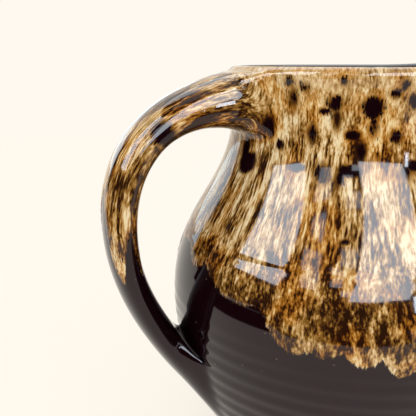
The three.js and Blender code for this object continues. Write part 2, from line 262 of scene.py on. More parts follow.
def store(thing: bpy.types.Object, name: str, values: np.ndarray) -> None:
    """Stores a number or a vector for each vertex, for a material to read.

    Args:
        thing: The object to change.
        name: The attribute's name.
        values: One number or one row of three for each vertex.
    """
    vector = values.ndim == 2
    attribute = thing.data.attributes.new(name, "FLOAT_VECTOR" if vector else "FLOAT", "POINT")
    attribute.data.foreach_set("vector" if vector else "value", values.astype(np.float32).ravel())


def finish_piece(
    thing: bpy.types.Object, material: bpy.types.Material, nodes: Sequence[str], sharp: float = 65
) -> None:
    """Smooths and dresses a finished piece, and puts it in the frame.

    Args:
        thing: The piece.
        material: What it is made of.
        nodes: The CAD nodes that it stands for.
        sharp: The angle in degrees over which an edge stays sharp.
    """
    pick(thing)
    bpy.ops.object.shade_smooth_by_angle(angle=math.radians(sharp))
    thing.data.materials.clear()
    thing.data.materials.append(material)
    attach(thing, BODY)
    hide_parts(*nodes)
    log.info("%s: %d faces, stands for %s", thing.name, len(thing.data.polygons), ", ".join(nodes))


# Form


@dataclass
class ThrownForm:
    """The wall of the jug as it came off the wheel: radius by height, with throwing ridges and a lip."""

    foot: Pair = (52.0, 6.0)
    heel_handle: Pair = (76.95, 28.2)
    under_belly: float = 10.6
    belly: Pair = (80.0, 78.8)
    over_belly: float = 33.97
    under_neck: float = 28.55
    neck: Pair = (54.03, 154.9)
    throat_flare: float = 0.2
    rim_radius: float = 56.0
    rim_height: float = 176.0
    crest_round: float = 2.4
    crest_dome: float = 1.0
    bead_height: float = 2.6
    bead_depth: float = 0.6
    wall: float = 7.8
    floor_height: float = 9.4
    floor_corner: float = 9.0
    slow_run: float = 32.0
    fast_run: float = 36.0
    run_squeeze: float = 0.62
    arc_steps: tuple[int, ...] = (80, 100, 30, 10)

    ridge_pitch: float = 5.9
    ridge_depth: float = 0.17
    ridge_crest: float = 75.7
    ridges_from: float = 24.0
    ridges_to: float = 80.0
    ridge_fade: float = 8.0
    wobble: float = 0.22
    wobble_from: float = 30.0
    wobble_climbs: Pair = (31.0, 19.0)
    second_wobble: float = 0.6
    groove_height: float = 107.3
    groove_depth: float = 0.3
    groove_width: float = 1.5
    groove_turn: float = math.radians(209)
    groove_spread: float = math.radians(24)
    groove_least: float = 0.25

    lip_reach: float = 9.0
    lip_rise: float = 2.4
    lip_depth: float = 34.0
    lip_top: float = 174.6
    lip_spread: float = math.radians(23)
    lip_fade: float = 1.8
    cheek_pinch: float = 2.4
    cheek_turn: float = math.radians(42)
    cheek_spread: float = math.radians(15)

    line: np.ndarray = field(init=False)
    lengths: np.ndarray = field(init=False)

    def __post_init__(self) -> None:
        """Works out the outside line from the foot to where the crest rounds over."""
        (belly_radius, belly_height), (neck_radius, neck_height) = self.belly, self.neck
        bead = (self.rim_radius - self.bead_depth, self.crest_start - self.bead_height)
        third = (bead[1] - neck_height) / 3
        arcs = (
            (self.foot, self.heel_handle, (belly_radius, belly_height - self.under_belly), self.belly),
            (
                self.belly,
                (belly_radius, belly_height + self.over_belly),
                (neck_radius, neck_height - self.under_neck),
                self.neck,
            ),
            (
                self.neck,
                (neck_radius, neck_height + third),
                (neck_radius + self.throat_flare, neck_height + 2 * third),
                bead,
            ),
            (
                bead,
                (self.rim_radius - self.bead_depth / 3, bead[1] + self.bead_height / 3),
                (self.rim_radius, self.crest_start - self.bead_height / 3),
                (self.rim_radius, self.crest_start),
            ),
        )
        first, *others = [bezier(arc, steps) for arc, steps in zip(arcs, self.arc_steps)]
        self.line = np.vstack((first, *(arc[1:] for arc in others)))
        steps = np.hypot(*np.diff(self.line, axis=0).T)
        self.lengths = np.append(np.cumsum(steps[::-1])[::-1], 0)

    @property
    def crest_start(self) -> float:
        """The height where the outside begins to round over into the crest."""
        return self.rim_height - self.crest_round

    @property
    def crest_centre(self) -> float:
        """The radius of the centre line that the crest's outer half rounds about."""
        return self.rim_radius - self.crest_round

    @property
    def crest_middle(self) -> Pair:
        """The middle of the crest as (radius, height), where the outer coat meets the lining."""
        return self.rim_radius - self.wall / 2, self.rim_height

    def on_crest(self, lean: float) -> Pair:
        """A point of the crest's outer half as (radius, height), by its lean in degrees from level."""
        return (
            self.crest_centre + self.crest_round * math.cos(math.radians(lean)),
            self.crest_start + self.crest_round * math.sin(math.radians(lean)),
        )

    def radius(self, height: np.ndarray) -> np.ndarray:
        """The plain radius of the outside at each height."""
        return np.interp(height, self.line[:, 1], self.line[:, 0])

    def inner_radius(self, height: np.ndarray) -> np.ndarray:
        """The plain radius of the inside at each height."""
        slope = (self.radius(height + 1) - self.radius(height - 1)) / 2
        return self.radius(height) - self.wall * np.sqrt(1 + slope**2)

    def down_from_crest(self, height: np.ndarray) -> np.ndarray:
        """The way along the outside from the crest down to each height, squeezed where the glaze ran fastest.

        Streaks that are drawn along it come out longer on the shoulder than at the neck and at the drips.
        """
        down = self.crest_round * math.pi / 2 + np.interp(height, self.line[:, 1], self.lengths)
        return down - (1 - self.run_squeeze) * np.clip(down - self.slow_run, 0, self.fast_run)

    def hand_marks(self, height: np.ndarray, turn: np.ndarray) -> np.ndarray:
        """What the thrower's fingers added to the radius.

        Args:
            height: The heights.
            turn: The turns at those heights, in radians.

        Returns:
            The spiral of throwing ridges, the groove over them and the wall's slight unevenness.
        """
        spiral = (height - self.ridge_crest) / self.ridge_pitch - (turn - CAMERA_TURN) / (2 * math.pi)
        rise = smooth_step(self.ridges_from - self.ridge_fade, self.ridges_from + self.ridge_fade, height)
        fall = 1 - smooth_step(self.ridges_to - self.ridge_fade, self.ridges_to + self.ridge_fade, height)
        ridges = self.ridge_depth * np.cos(2 * math.pi * spiral) * rise * fall
        level = 1 - smooth_step(self.neck[1], self.crest_start, height)
        climb, second_climb = self.wobble_climbs
        uneven = np.sin(2 * turn + height / climb)
        uneven = uneven + self.second_wobble * np.sin(3 * turn - height / second_climb + 1)
        settled = level * smooth_step(0, self.wobble_from, height)
        away = (turn - self.groove_turn + math.pi) % (2 * math.pi) - math.pi
        pressed = np.maximum(np.exp(-((away / self.groove_spread) ** 2)), self.groove_least)
        groove = self.groove_depth * np.exp(-(((height - self.groove_height) / self.groove_width) ** 2))
        return ridges - groove * pressed + self.wobble * uneven * settled

    def pull_lip(self, places: np.ndarray) -> np.ndarray:
        """Rounds the crest over, draws the pouring lip out of the rim, and its cheeks in.

        Args:
            places: Points of the wall.

        Returns:
            Where those points are after the pull.
        """
        turn, radius = around_axis(places)
        height = np.clip((places[:, 2] - self.lip_top + self.lip_depth) / self.lip_depth, 0, 1)
        fade = height**self.lip_fade * np.clip(2 * radius / self.neck[0], 0, 1) ** 2
        lip = fade * np.exp(-((turn / self.lip_spread) ** 2))
        cheek = fade * np.exp(-(((np.abs(turn) - self.cheek_turn) / self.cheek_spread) ** 2))
        drawn = radius + self.lip_reach * lip - self.cheek_pinch * cheek
        off_middle = (radius - self.rim_radius + self.wall / 2) / (self.wall / 2)
        at_crest = smooth_step(self.crest_start, self.rim_height, places[:, 2])
        new_height = places[:, 2] + self.lip_rise * lip - self.crest_dome * off_middle**2 * at_crest
        return at_turns(turn, drawn, new_height)

    def seated(self, places: np.ndarray) -> np.ndarray:
        """Puts points that lie near the outside exactly on it.

        Args:
            places: Points near the wall's outside or its crest.

        Returns:
            The points on the wall, with its hand marks.
        """
        turn, radius = around_axis(places)
        height = places[:, 2]
        on_wall = self.radius(height) + self.hand_marks(height, turn)
        lean = np.arctan2(height - self.crest_start, radius - self.crest_centre)
        rounding = (height > self.crest_start) & (radius > self.crest_centre)
        flat = radius <= self.crest_centre
        new_radius = np.where(rounding, self.crest_centre + self.crest_round * np.cos(lean), on_wall)
        new_radius = np.where(flat, radius, new_radius)
        height = np.where(rounding, self.crest_start + self.crest_round * np.sin(lean), height)
        height = np.where(flat, self.rim_height, height)
        return at_turns(turn, new_radius, height)


def in_handle_plane(places: np.ndarray) -> np.ndarray:
    """Points seen square to the plane of the handle, as (radius, height) rows."""
    return np.column_stack((-places[:, 0], places[:, 2]))


@dataclass
class StrapForm:
    """The pulled handle: its middle line in the plane of the handle, as (radius, height), and its section.

    At the top the section is domed outside and nearly flat inside, so its edges lie nearer to the inner face.
    Further down it is as round inside as outside.
    """

    start: Pair = (54.0, 163.3)
    spring: Pair = (86.6, 163.9)
    over_bend: Pair = (105.4, 147.4)
    bend: Pair = (105.4, 116.1)
    under_bend: Pair = (105.4, 80.6)
    tuck: Pair = (78.3, 53.0)
    end: Pair = (60.8, 28.1)
    width: float = 26.8
    upper_spread: float = 6.5
    lower_spread: float = 4.0
    thickness: float = 12.7
    thinning: float = 0.8
    root_swelling: float = 12.0
    taper: float = 0.25
    squareness_shares: tuple[float, ...] = (2.8, 2.5, 2.1, 2.0)
    edge_places: tuple[float, ...] = (0.0, 0.28, 0.6, 1.0)
    edge_shares: tuple[float, ...] = (0.3, 0.3, 0.52, 0.52)
    samples: int = 240
    at_once: int = 4096

    line: np.ndarray = field(init=False)
    outwards: np.ndarray = field(init=False)
    shares: np.ndarray = field(init=False)

    def __post_init__(self) -> None:
        """Works out evenly spaced points of the middle line, with the directions square to it."""
        upper = bezier((self.start, self.spring, self.over_bend, self.bend), self.samples)
        lower = bezier((self.bend, self.under_bend, self.tuck, self.end), self.samples)
        path = np.vstack((upper, lower[1:]))
        lengths = np.append(0, np.cumsum(np.hypot(*np.diff(path, axis=0).T)))
        self.shares = np.linspace(0, 1, self.samples + 1)
        even = self.shares * lengths[-1]
        self.line = np.column_stack([np.interp(even, lengths, path[:, axis]) for axis in (0, 1)])
        along = np.gradient(self.line, axis=0)
        along /= np.hypot(*along.T)[:, None]
        self.outwards = np.column_stack((-along[:, 1], along[:, 0]))

    def half_sizes(self, share: np.ndarray) -> tuple[np.ndarray, np.ndarray]:
        """Half the strap's width and half its thickness at shares of its length."""
        upper = np.clip(1 - share / self.taper, 0, 1) ** 2
        lower = np.clip(1 - (1 - share) / self.taper, 0, 1) ** 2
        width = self.width + self.upper_spread * upper + self.lower_spread * lower
        thickness = self.thickness - self.thinning * share + self.root_swelling * upper
        return width / 2, thickness / 2

    def edge_height(self, share: np.ndarray, half_thickness: np.ndarray) -> np.ndarray:
        """How far out from the middle line the strap's two edges lie, at shares of its length."""
        return (2 * np.interp(share, self.edge_places, self.edge_shares) - 1) * half_thickness

    def squareness(self, share: np.ndarray) -> np.ndarray:
        """How square the section is, where 2 is an ellipse, at shares of the length."""
        return np.interp(share, self.edge_places, self.squareness_shares)

    def ring(self, share: float, corners: int) -> np.ndarray:
        """The section's outline at a share of the length, in metres, as points in the jug's frame."""
        middle_line = np.array([np.interp(share, self.shares, self.line[:, axis]) for axis in (0, 1)])
        outwards = np.array([np.interp(share, self.shares, self.outwards[:, axis]) for axis in (0, 1)])
        half_width, half_thickness = self.half_sizes(np.array(share))
        angle = 2 * math.pi * (np.arange(corners) + 0.5) / corners
        power = 2 / self.squareness(np.array(share))
        wave = [np.sign(w) * np.abs(w) ** power for w in (np.cos(angle), np.sin(angle))]
        edge = self.edge_height(np.array(share), half_thickness)
        rise = np.where(wave[1] > 0, half_thickness - edge, half_thickness + edge)
        across, out = wave[0] * half_width, edge + wave[1] * rise
        radius = middle_line[0] + out * outwards[0]
        height = middle_line[1] + out * outwards[1]
        return np.column_stack((-radius, across, height)) * MM

    def locate(self, places: np.ndarray) -> tuple[np.ndarray, np.ndarray, np.ndarray]:
        """Finds points in the strap's own terms.

        Args:
            places: Points anywhere.

        Returns:
            For each point, the nearest sample of the middle line, and how far it lies across and out from it.
        """
        flat = in_handle_plane(places)
        nearest = np.empty(len(flat), int)
        for first in range(0, len(flat), self.at_once):
            chunk = slice(first, first + self.at_once)
            gaps = ((flat[chunk, None, :] - self.line[None, :, :]) ** 2).sum(2)
            nearest[chunk] = gaps.argmin(1)
        out = ((flat - self.line[nearest]) * self.outwards[nearest]).sum(1)
        return nearest, places[:, 1], out

    def flow(self, places: np.ndarray, nearest: np.ndarray, out: np.ndarray) -> np.ndarray:
        """Where the glaze's flow coordinates put points of the strap: its length runs down, as on the wall.

        Args:
            places: Points on the strap.
            nearest: The nearest sample of the middle line to each point.
            out: How far out from the middle line each point lies.

        Returns:
            The flow coordinates, one row for each point.
        """
        away = in_handle_plane(places) - self.line[nearest]
        onward = away[:, 0] * self.outwards[nearest, 1] - away[:, 1] * self.outwards[nearest, 0]
        step = float(np.hypot(*(self.line[1] - self.line[0])))
        bend = int(np.abs(self.line[:, 1] - self.bend[1]).argmin())
        heights = self.line[:, 1].copy()
        heights[:bend] = np.linspace(self.start[1], heights[bend], bend, endpoint=False)
        height = np.interp(nearest + onward / step, np.arange(len(heights)), heights)
        return np.column_stack((-FLOW_RADIUS - out, places[:, 1], height))

    def seated(self, places: np.ndarray) -> tuple[np.ndarray, np.ndarray, np.ndarray]:
        """Puts points near the strap exactly on its surface.

        Args:
            places: Points near the strap.

        Returns:
            The points on the strap, how far outside it they were, and their share of the way out to it from
            the middle of the section.
        """
        nearest, across, out = self.locate(places)
        half_width, half_thickness = self.half_sizes(self.shares[nearest])
        edge = self.edge_height(self.shares[nearest], half_thickness)
        rise = np.where(out > edge, half_thickness - edge, half_thickness + edge)
        power = self.squareness(self.shares[nearest])
        size = np.abs(across / half_width) ** power + np.abs((out - edge) / rise) ** power
        size = size ** (1 / power)
        size = np.maximum(size, 1e-3)
        new_across, new_out = across / size, edge + (out - edge) / size
        on_line = self.line[nearest] + new_out[:, None] * self.outwards[nearest]
        along = in_handle_plane(places) - self.line[nearest] - out[:, None] * self.outwards[nearest]
        on_line = on_line + along
        seated = np.column_stack((-on_line[:, 0], new_across, on_line[:, 1]))
        return seated, np.hypot(across, out - edge) * (1 - 1 / size), size

    def share_clear_of(self, wall: ThrownForm, clearance: float, lower: bool) -> float:
        """The share of the strap's length where its middle line is a given distance off the wall.

        Args:
            wall: The wall that it grows out of.
            clearance: The distance off the wall.
            lower: Whether to look from the lower end.

        Returns:
            The share of the length.
        """
        off_wall = self.line[:, 0] - wall.radius(self.line[:, 1])
        clear = np.nonzero(off_wall > clearance)[0]
        return float(self.shares[clear[-1] if lower else clear[0]])


@dataclass(frozen=True)
class Drip:
    """One run of the second glaze: where its tip hangs and how quickly its edge rises beside it."""

    turn: float
    tip: float
    half_width: float


@dataclass
class DripLine:
    """The edge where the second glaze stopped running, as scallops with cusps between them."""

    shown: tuple[Drip, ...] = (
        Drip(163, 101.0, 8.0),
        Drip(174, 103.0, 9.0),
        Drip(185, 97.5, 6.5),
        Drip(194, 100.5, 7.0),
        Drip(207, 92.3, 11.0),
        Drip(224.5, 80.3, 5.5),
        Drip(231.6, 80.6, 5.6),
        Drip(241.5, 78.5, 4.3),
        Drip(250.6, 75.6, 3.7),
        Drip(258.0, 77.4, 4.0),
    )
    rise: float = 4.0
    tips: Pair = (75.0, 88.0)
    spacing: Pair = (6.5, 10.5)
    overlap: float = 0.55
    seed: int = 7
    drips: list[Drip] = field(init=False)

    def __post_init__(self) -> None:
        """Adds runs all the way round to those that the photograph shows."""
        draw = random.Random(self.seed)
        self.drips = list(self.shown)
        turn = self.shown[-1].turn + draw.uniform(*self.spacing)
        while turn < self.shown[0].turn + 360 - self.spacing[0]:
            gap = draw.uniform(*self.spacing)
            self.drips.append(Drip(turn % 360, draw.uniform(*self.tips), self.overlap * gap))
            turn += gap

    def height(self, turn: np.ndarray) -> np.ndarray:
        """The height of the edge at each turn, in radians."""
        degrees = np.degrees(turn)
        edges = []
        for drip in self.drips:
            aside = (degrees - drip.turn + 180) % 360 - 180
            edges.append(drip.tip + self.rise * (aside / drip.half_width) ** 2)
        return np.min(edges, axis=0)


@dataclass(frozen=True)
class Tongue:
    """A pointed run of the second glaze down the strap.

    It lies a way across the strap and a share of half its thickness out. Its edge rises beside that line as
    the square of the distance times its rise, and levels out where the dip covered the whole strap.
    """

    across: float
    out_share: float
    tip: float
    rise: float


@dataclass
class GlazedSkin:
    """The outer glaze of wall and handle in one unbroken skin, and what its materials need to know."""

    wall: ThrownForm
    strap: StrapForm
    drips: DripLine
    foot_line: float = 9.0
    heel_rings: int = 5
    row: float = 5.15
    rows_over_ridges: int = 3
    groove_rows: tuple[float, ...] = (-2.2, -0.8, 0.8, 2.2)
    shoulder_rings: int = 8
    upper_rows: tuple[float, ...] = (151.0, 157.0, 163.5, 169.6)
    crest_leans: tuple[float, ...] = (45.0, 68.0, 90.0)
    lower_hole: Pair = (28.3, 59.2)
    lower_half_turn: float = math.radians(15)
    upper_half_turn: float = math.radians(22.5)
    strap_rings: int = 20
    strap_clearances: Pair = (9.0, 11.0)

    # How far outside strap or wall the skin lets go of it, how far out along the strap's section it holds on
    # to the strap, and how far off the wall the strap's own glaze begins
    wall_blend: Pair = (3.5, 10.0)
    strap_blend: Pair = (0.55, 0.8)
    glaze_blend: Pair = (0.8, 7.0)

    thick_heights: tuple[float, ...] = (76.0, 82.0, 90.0, 100.0, 112.0, 140.0, 158.0, 170.0, 176.0)
    thick_shares: tuple[float, ...] = (0.03, -0.02, -0.13, -0.12, -0.02, 0.05, 0.07, 0.12, 0.1)
    bold_shares: tuple[float, ...] = (0.9, 0.8, 0.7, 0.72, 0.95, 1.0, 0.8, 0.38, 0.3)
    thick_beside_handle: float = 0.02
    beside_handle: float = math.radians(24)
    strap_thick: float = -0.06
    strap_bold: float = 0.9
    # Painted shade: how far the tone drops on the strap's inner face, which looks at the wall, and the shares
    # of half its thickness over which that fades out
    inner_face_shade: float = -0.2
    inner_face: Pair = (-0.75, 0.1)
    tongues: tuple[Tongue, ...] = (
        Tongue(-11.0, 0.55, 95.0, 1.2),
        Tongue(10.5, 0.55, 99.0, 1.2),
        Tongue(-10.5, -0.88, 94.0, 2.2),
        Tongue(10.5, -0.88, 97.0, 2.2),
    )
    tongue_reach: float = 45.0

    def wall_line(self) -> list[Pair]:
        """The coarse wall's line as (radius, height), from the edge over the foot to the crest's middle."""
        wall = self.wall
        heel = np.linspace(self.foot_line, self.lower_hole[0], self.heel_rings)
        top_row = wall.ridges_to + self.rows_over_ridges * self.row
        ridged = np.arange(self.lower_hole[0] + self.row, top_row, self.row)
        groove = wall.groove_height + wall.groove_width * np.array(self.groove_rows)
        shoulder = np.linspace(groove[-1], self.upper_rows[0], self.shoulder_rings + 1)[1:]
        heights = [*heel, *ridged, *groove, *shoulder, *self.upper_rows[1:]]
        line = [(float(wall.radius(height)), height) for height in heights]
        crest = [wall.on_crest(lean) for lean in self.crest_leans]
        return [*line, *crest, wall.crest_middle]

    def cut_root_holes(self, cage: bpy.types.Object) -> None:
        """Deletes the faces of the wall that the strap's roots take the place of."""
        crest = self.wall.on_crest(self.crest_leans[0])[1]

        def under_root(face: bmesh.types.BMFace) -> bool:
            """Whether the face lies under one of the strap's roots."""
            place = middle(face) / MM
            beside = abs(abs(math.atan2(place.y, place.x)) - HANDLE_TURN)
            lower = self.lower_hole[0] < place.z < self.lower_hole[1] and beside < self.lower_half_turn
            upper = self.upper_rows[0] < place.z < crest and beside < self.upper_half_turn
            return lower or upper

        select_where(cage, "faces", under_root)
        bpy.ops.mesh.delete(type="FACE")

    def bridge_roots(self, cage: bpy.types.Object) -> None:
        """Bridges each end of the strap to its hole in the wall."""
        crest = self.wall.on_crest(self.crest_leans[1])[1]
        split = self.strap.bend[1]
        for low, high in ((self.foot_line + self.row, split), (split, crest)):

            def open_edge(edge: bmesh.types.BMEdge) -> bool:
                """Whether the edge is on the rim of a hole or of the strap's open end."""
                place = middle(edge) / MM
                near = place.x < -FLOW_RADIUS / 2 and abs(place.y) < self.strap.width
                return edge.is_boundary and near and low < place.z < high

            select_where(cage, "edges", open_edge)
            bpy.ops.mesh.bridge_edge_loops(number_cuts=1, interpolation="LINEAR")

    def build_cage(self) -> bpy.types.Object:
        """Extrudes the coarse wall and the coarse strap and joins them at the roots."""
        cage = turned("jug_skin", self.wall_line())
        self.cut_root_holes(cage)
        hole_columns = round(self.upper_half_turn * COLUMNS / math.pi)
        corners = 2 * (len(self.upper_rows) + hole_columns)
        upper, lower = self.strap_clearances
        first = self.strap.share_clear_of(self.wall, upper, lower=False)
        last = self.strap.share_clear_of(self.wall, lower, lower=True)
        shares = np.linspace(first, last, self.strap_rings)
        strap = extruded("strap_cage", [self.strap.ring(share, corners) for share in shares])
        pick(cage, strap)
        bpy.ops.object.join()
        bpy.ops.object.mode_set(mode="EDIT")
        self.bridge_roots(cage)
        face_all()
        return cage

    def seat(self, skin: bpy.types.Object) -> None:
        """Puts the fine skin exactly on wall and strap, and leaves the soft fillets at the roots."""
        places = corners_of(skin)
        on_wall = self.wall.seated(places)
        on_strap, off_strap, way_out = self.strap.seated(places)
        to_wall = smooth_step(*self.wall_blend, off_strap)
        to_strap = smooth_step(*self.wall_blend, self.off_wall(places))
        to_strap = to_strap * smooth_step(*self.strap_blend, way_out)
        only_wall = to_wall * (1 - to_strap)
        places = places + only_wall[:, None] * (on_wall - places) + to_strap[:, None] * (on_strap - places)
        places[:, 2] = np.minimum(places[:, 2], self.wall.rim_height)
        place_corners(skin, places)

    def off_wall(self, places: np.ndarray) -> np.ndarray:
        """How far outside the wall each point lies, taken level."""
        return around_axis(places)[1] - self.wall.radius(places[:, 2])

    def above_tongues(
        self, places: np.ndarray, out_shares: np.ndarray, half_thickness: np.ndarray
    ) -> np.ndarray:
        """How far points of the strap lie above the edge of the glaze's tongues.

        Args:
            places: The points.
            out_shares: How far out from the middle line they lie, as shares of half the strap's thickness.
            half_thickness: Half the strap's thickness there.

        Returns:
            The height above the edge, for each point.
        """
        above = []
        for tongue in self.tongues:
            out = (out_shares - tongue.out_share) * half_thickness
            run = tongue.rise * ((places[:, 1] - tongue.across) ** 2 + out**2)
            above.append(places[:, 2] - tongue.tip - run * self.tongue_reach / (run + self.tongue_reach))
        return np.max(above, axis=0)

    def describe(self, skin: bpy.types.Object) -> None:
        """Stores what the glazes' materials read, before the lip is drawn.

        That is where the glaze flowed, how far each point lies above its edge, how thick the second coat is
        with painted shade on the strap's inner face, and how boldly it broke.
        """
        places = corners_of(skin)
        turn, radius = around_axis(places)
        height = places[:, 2]
        over_crest = (height > self.wall.crest_start) & (radius < self.wall.rim_radius)
        down = np.where(over_crest, radius - self.wall.crest_centre, self.wall.down_from_crest(height))
        nearest, _, out = self.strap.locate(places)
        half_thickness = self.strap.half_sizes(self.strap.shares[nearest])[1]
        out_shares = out / half_thickness
        handle_turn = np.abs(np.abs(turn) - HANDLE_TURN)
        beside_handle = self.thick_beside_handle * np.exp(-((handle_turn / self.beside_handle) ** 2))
        # 1 on the strap's inner face, where painted shade lowers the tone
        inner_face = 1 - smooth_step(*self.inner_face, out_shares)
        onto_strap = smooth_step(*self.glaze_blend, self.off_wall(places))
        on_both = {
            "flow": (
                at_turns(turn, FLOW_RADIUS, self.wall.rim_height - down),
                self.strap.flow(places, nearest, out),
            ),
            "above_drip": (
                height - self.drips.height(turn),
                self.above_tongues(places, out_shares, half_thickness),
            ),
            "thickness": (
                np.interp(height, self.thick_heights, self.thick_shares) + beside_handle,
                # On the strap, the inner face's drop in tone is painted shade
                self.strap_thick + self.inner_face_shade * inner_face,
            ),
            "boldness": (np.interp(height, self.thick_heights, self.bold_shares), self.strap_bold),
        }
        for name, (wall, strap) in on_both.items():
            share = onto_strap[:, None] if wall.ndim == 2 else onto_strap
            store(skin, name, wall + share * (strap - wall))

    def build(self) -> bpy.types.Object:
        """Makes the fine single skin that both outer coats are cut from."""
        skin = self.build_cage()
        add_modifier(skin, "SUBSURF", levels=2, render_levels=2)
        self.seat(skin)
        self.describe(skin)
        place_corners(skin, self.wall.pull_lip(corners_of(skin)))
        return skin


def thickened(skin: bpy.types.Object, thickness: float) -> None:
    """Gives a skin its thickness, towards the clay, in millimetres."""
    add_modifier(skin, "SOLIDIFY", thickness=thickness * MM, offset=-1, use_even_offset=True)


@dataclass
class OuterCoats:
    """The dark coat all over the outside, and the streaked coat that was dipped over its upper part."""

    relief: float = 0.35
    sink: float = 0.25
    edge: Pair = (-0.8, 2.6)
    hidden_margin: float = 3.5

    def build_streaked(self, single: bpy.types.Object, material: bpy.types.Material) -> bpy.types.Object:
        """Copies the part of the skin that the second dip covered, raised over the first coat.

        Args:
            single: The single skin of wall and handle.
            material: What the coat is made of.

        Returns:
            The finished piece.
        """
        coat = single.copy()
        coat.data = single.data.copy()
        coat.name = coat.data.name = "streaked_coat"
        bpy.context.collection.objects.link(coat)
        above = np.empty(len(coat.data.vertices), np.float32)
        coat.data.attributes["above_drip"].data.foreach_get("value", above)
        raised = smooth_step(*self.edge, above)[:, None] * (self.relief + self.sink) - self.sink
        place_corners(coat, corners_of(coat) + normals_of(coat) * raised)
        pick(coat)
        bpy.ops.object.mode_set(mode="EDIT")

        def hidden(face: bmesh.types.BMFace) -> bool:
            """Whether the face lies well below the edge, under the first coat."""
            return max(above[corner.index] for corner in face.verts) < -self.hidden_margin

        select_where(coat, "faces", hidden)
        bpy.ops.mesh.delete(type="FACE")
        bpy.ops.object.mode_set(mode="OBJECT")
        thickened(coat, self.relief)
        finish_piece(coat, material, ["streaked_glaze"])
        return coat

    def build_dark(self, single: bpy.types.Object, material: bpy.types.Material) -> bpy.types.Object:
        """Makes the single skin into the first coat.

        Args:
            single: The single skin of wall and handle, which this uses up.
            material: What the coat is made of.

        Returns:
            The finished piece.
        """
        single.name = single.data.name = "dark_coat"
        thickened(single, COAT)
        finish_piece(single, material, ["dark_glaze"])
        return single


@dataclass
class Inside:
    """The lining glaze, from the middle of the crest down the inside and over the floor."""

    wall: ThrownForm
    rows: int = 30
    side_below_crest: float = 3.0
    corner: tuple[Pair, ...] = ((2.5, 5.0), (6.0, 8.5), (14.0, 9.0))
    floor_rings: int = 5
    centre_radius: float = 6.0
    ridge_pitch: float = 7.0
    ridge_depth: float = 0.3
    ridge_fade: Pair = (140.0, 165.0)
    centre_fade: Pair = (2.0, 12.0)
    dip: float = 0.1
    dip_sway: float = 0.3
    boldness: float = 0.3

    def line(self) -> list[Pair]:
        """The inside line as (radius, height), from the crest down to the middle of the floor."""
        wall = self.wall
        crest = [wall.on_crest(lean) for lean in (90, 60, 30, 0)]
        crest = [(2 * wall.crest_middle[0] - radius, height) for radius, height in crest]
        low = wall.floor_height + wall.floor_corner
        heights = np.linspace(wall.crest_start - self.side_below_crest, low, self.rows)
        side = [(float(wall.inner_radius(height)), float(height)) for height in heights]
        rounding = [(side[-1][0] - inwards, low - down) for inwards, down in self.corner]
        corner = bezier((side[-1], *rounding), 4)[1:]
        radii = np.linspace(corner[-1][0], self.centre_radius, self.floor_rings + 1)[1:]
        floor = [(float(radius), wall.floor_height) for radius in radii]
        return [wall.crest_middle, *crest, *side, *map(tuple, corner), *floor]

    def build(self, material: bpy.types.Material) -> bpy.types.Object:
        """Extrudes the inside down from the crest and closes the floor.

        Args:
            material: What the coat is made of.

        Returns:
            The finished piece.
        """
        lining = turned("lining_coat", self.line())
        bpy.ops.mesh.edge_face_add()
        face_all(inwards=True)
        add_modifier(lining, "SUBSURF", levels=2, render_levels=2)
        places = corners_of(lining)
        turn, radius = around_axis(places)
        height = places[:, 2]
        way = height - radius * (height < self.wall.floor_height + 1)
        marks = self.ridge_depth * np.sin(2 * math.pi * way / self.ridge_pitch - turn)
        marks *= (1 - smooth_step(*self.ridge_fade, height)) * smooth_step(*self.centre_fade, radius)
        edge = self.wall.rim_height - self.dip + self.dip_sway * np.sin(5 * turn) * np.cos(3 * turn + 1)
        store(lining, "flow", places)
        store(lining, "above_drip", height - edge)
        store(lining, "thickness", np.zeros(len(places)))
        store(lining, "boldness", np.full(len(places), self.boldness))
        place_corners(lining, self.wall.pull_lip(places - normals_of(lining) * marks[:, None]))
        thickened(lining, COAT)
        finish_piece(lining, material, ["lining_glaze"])
        return lining


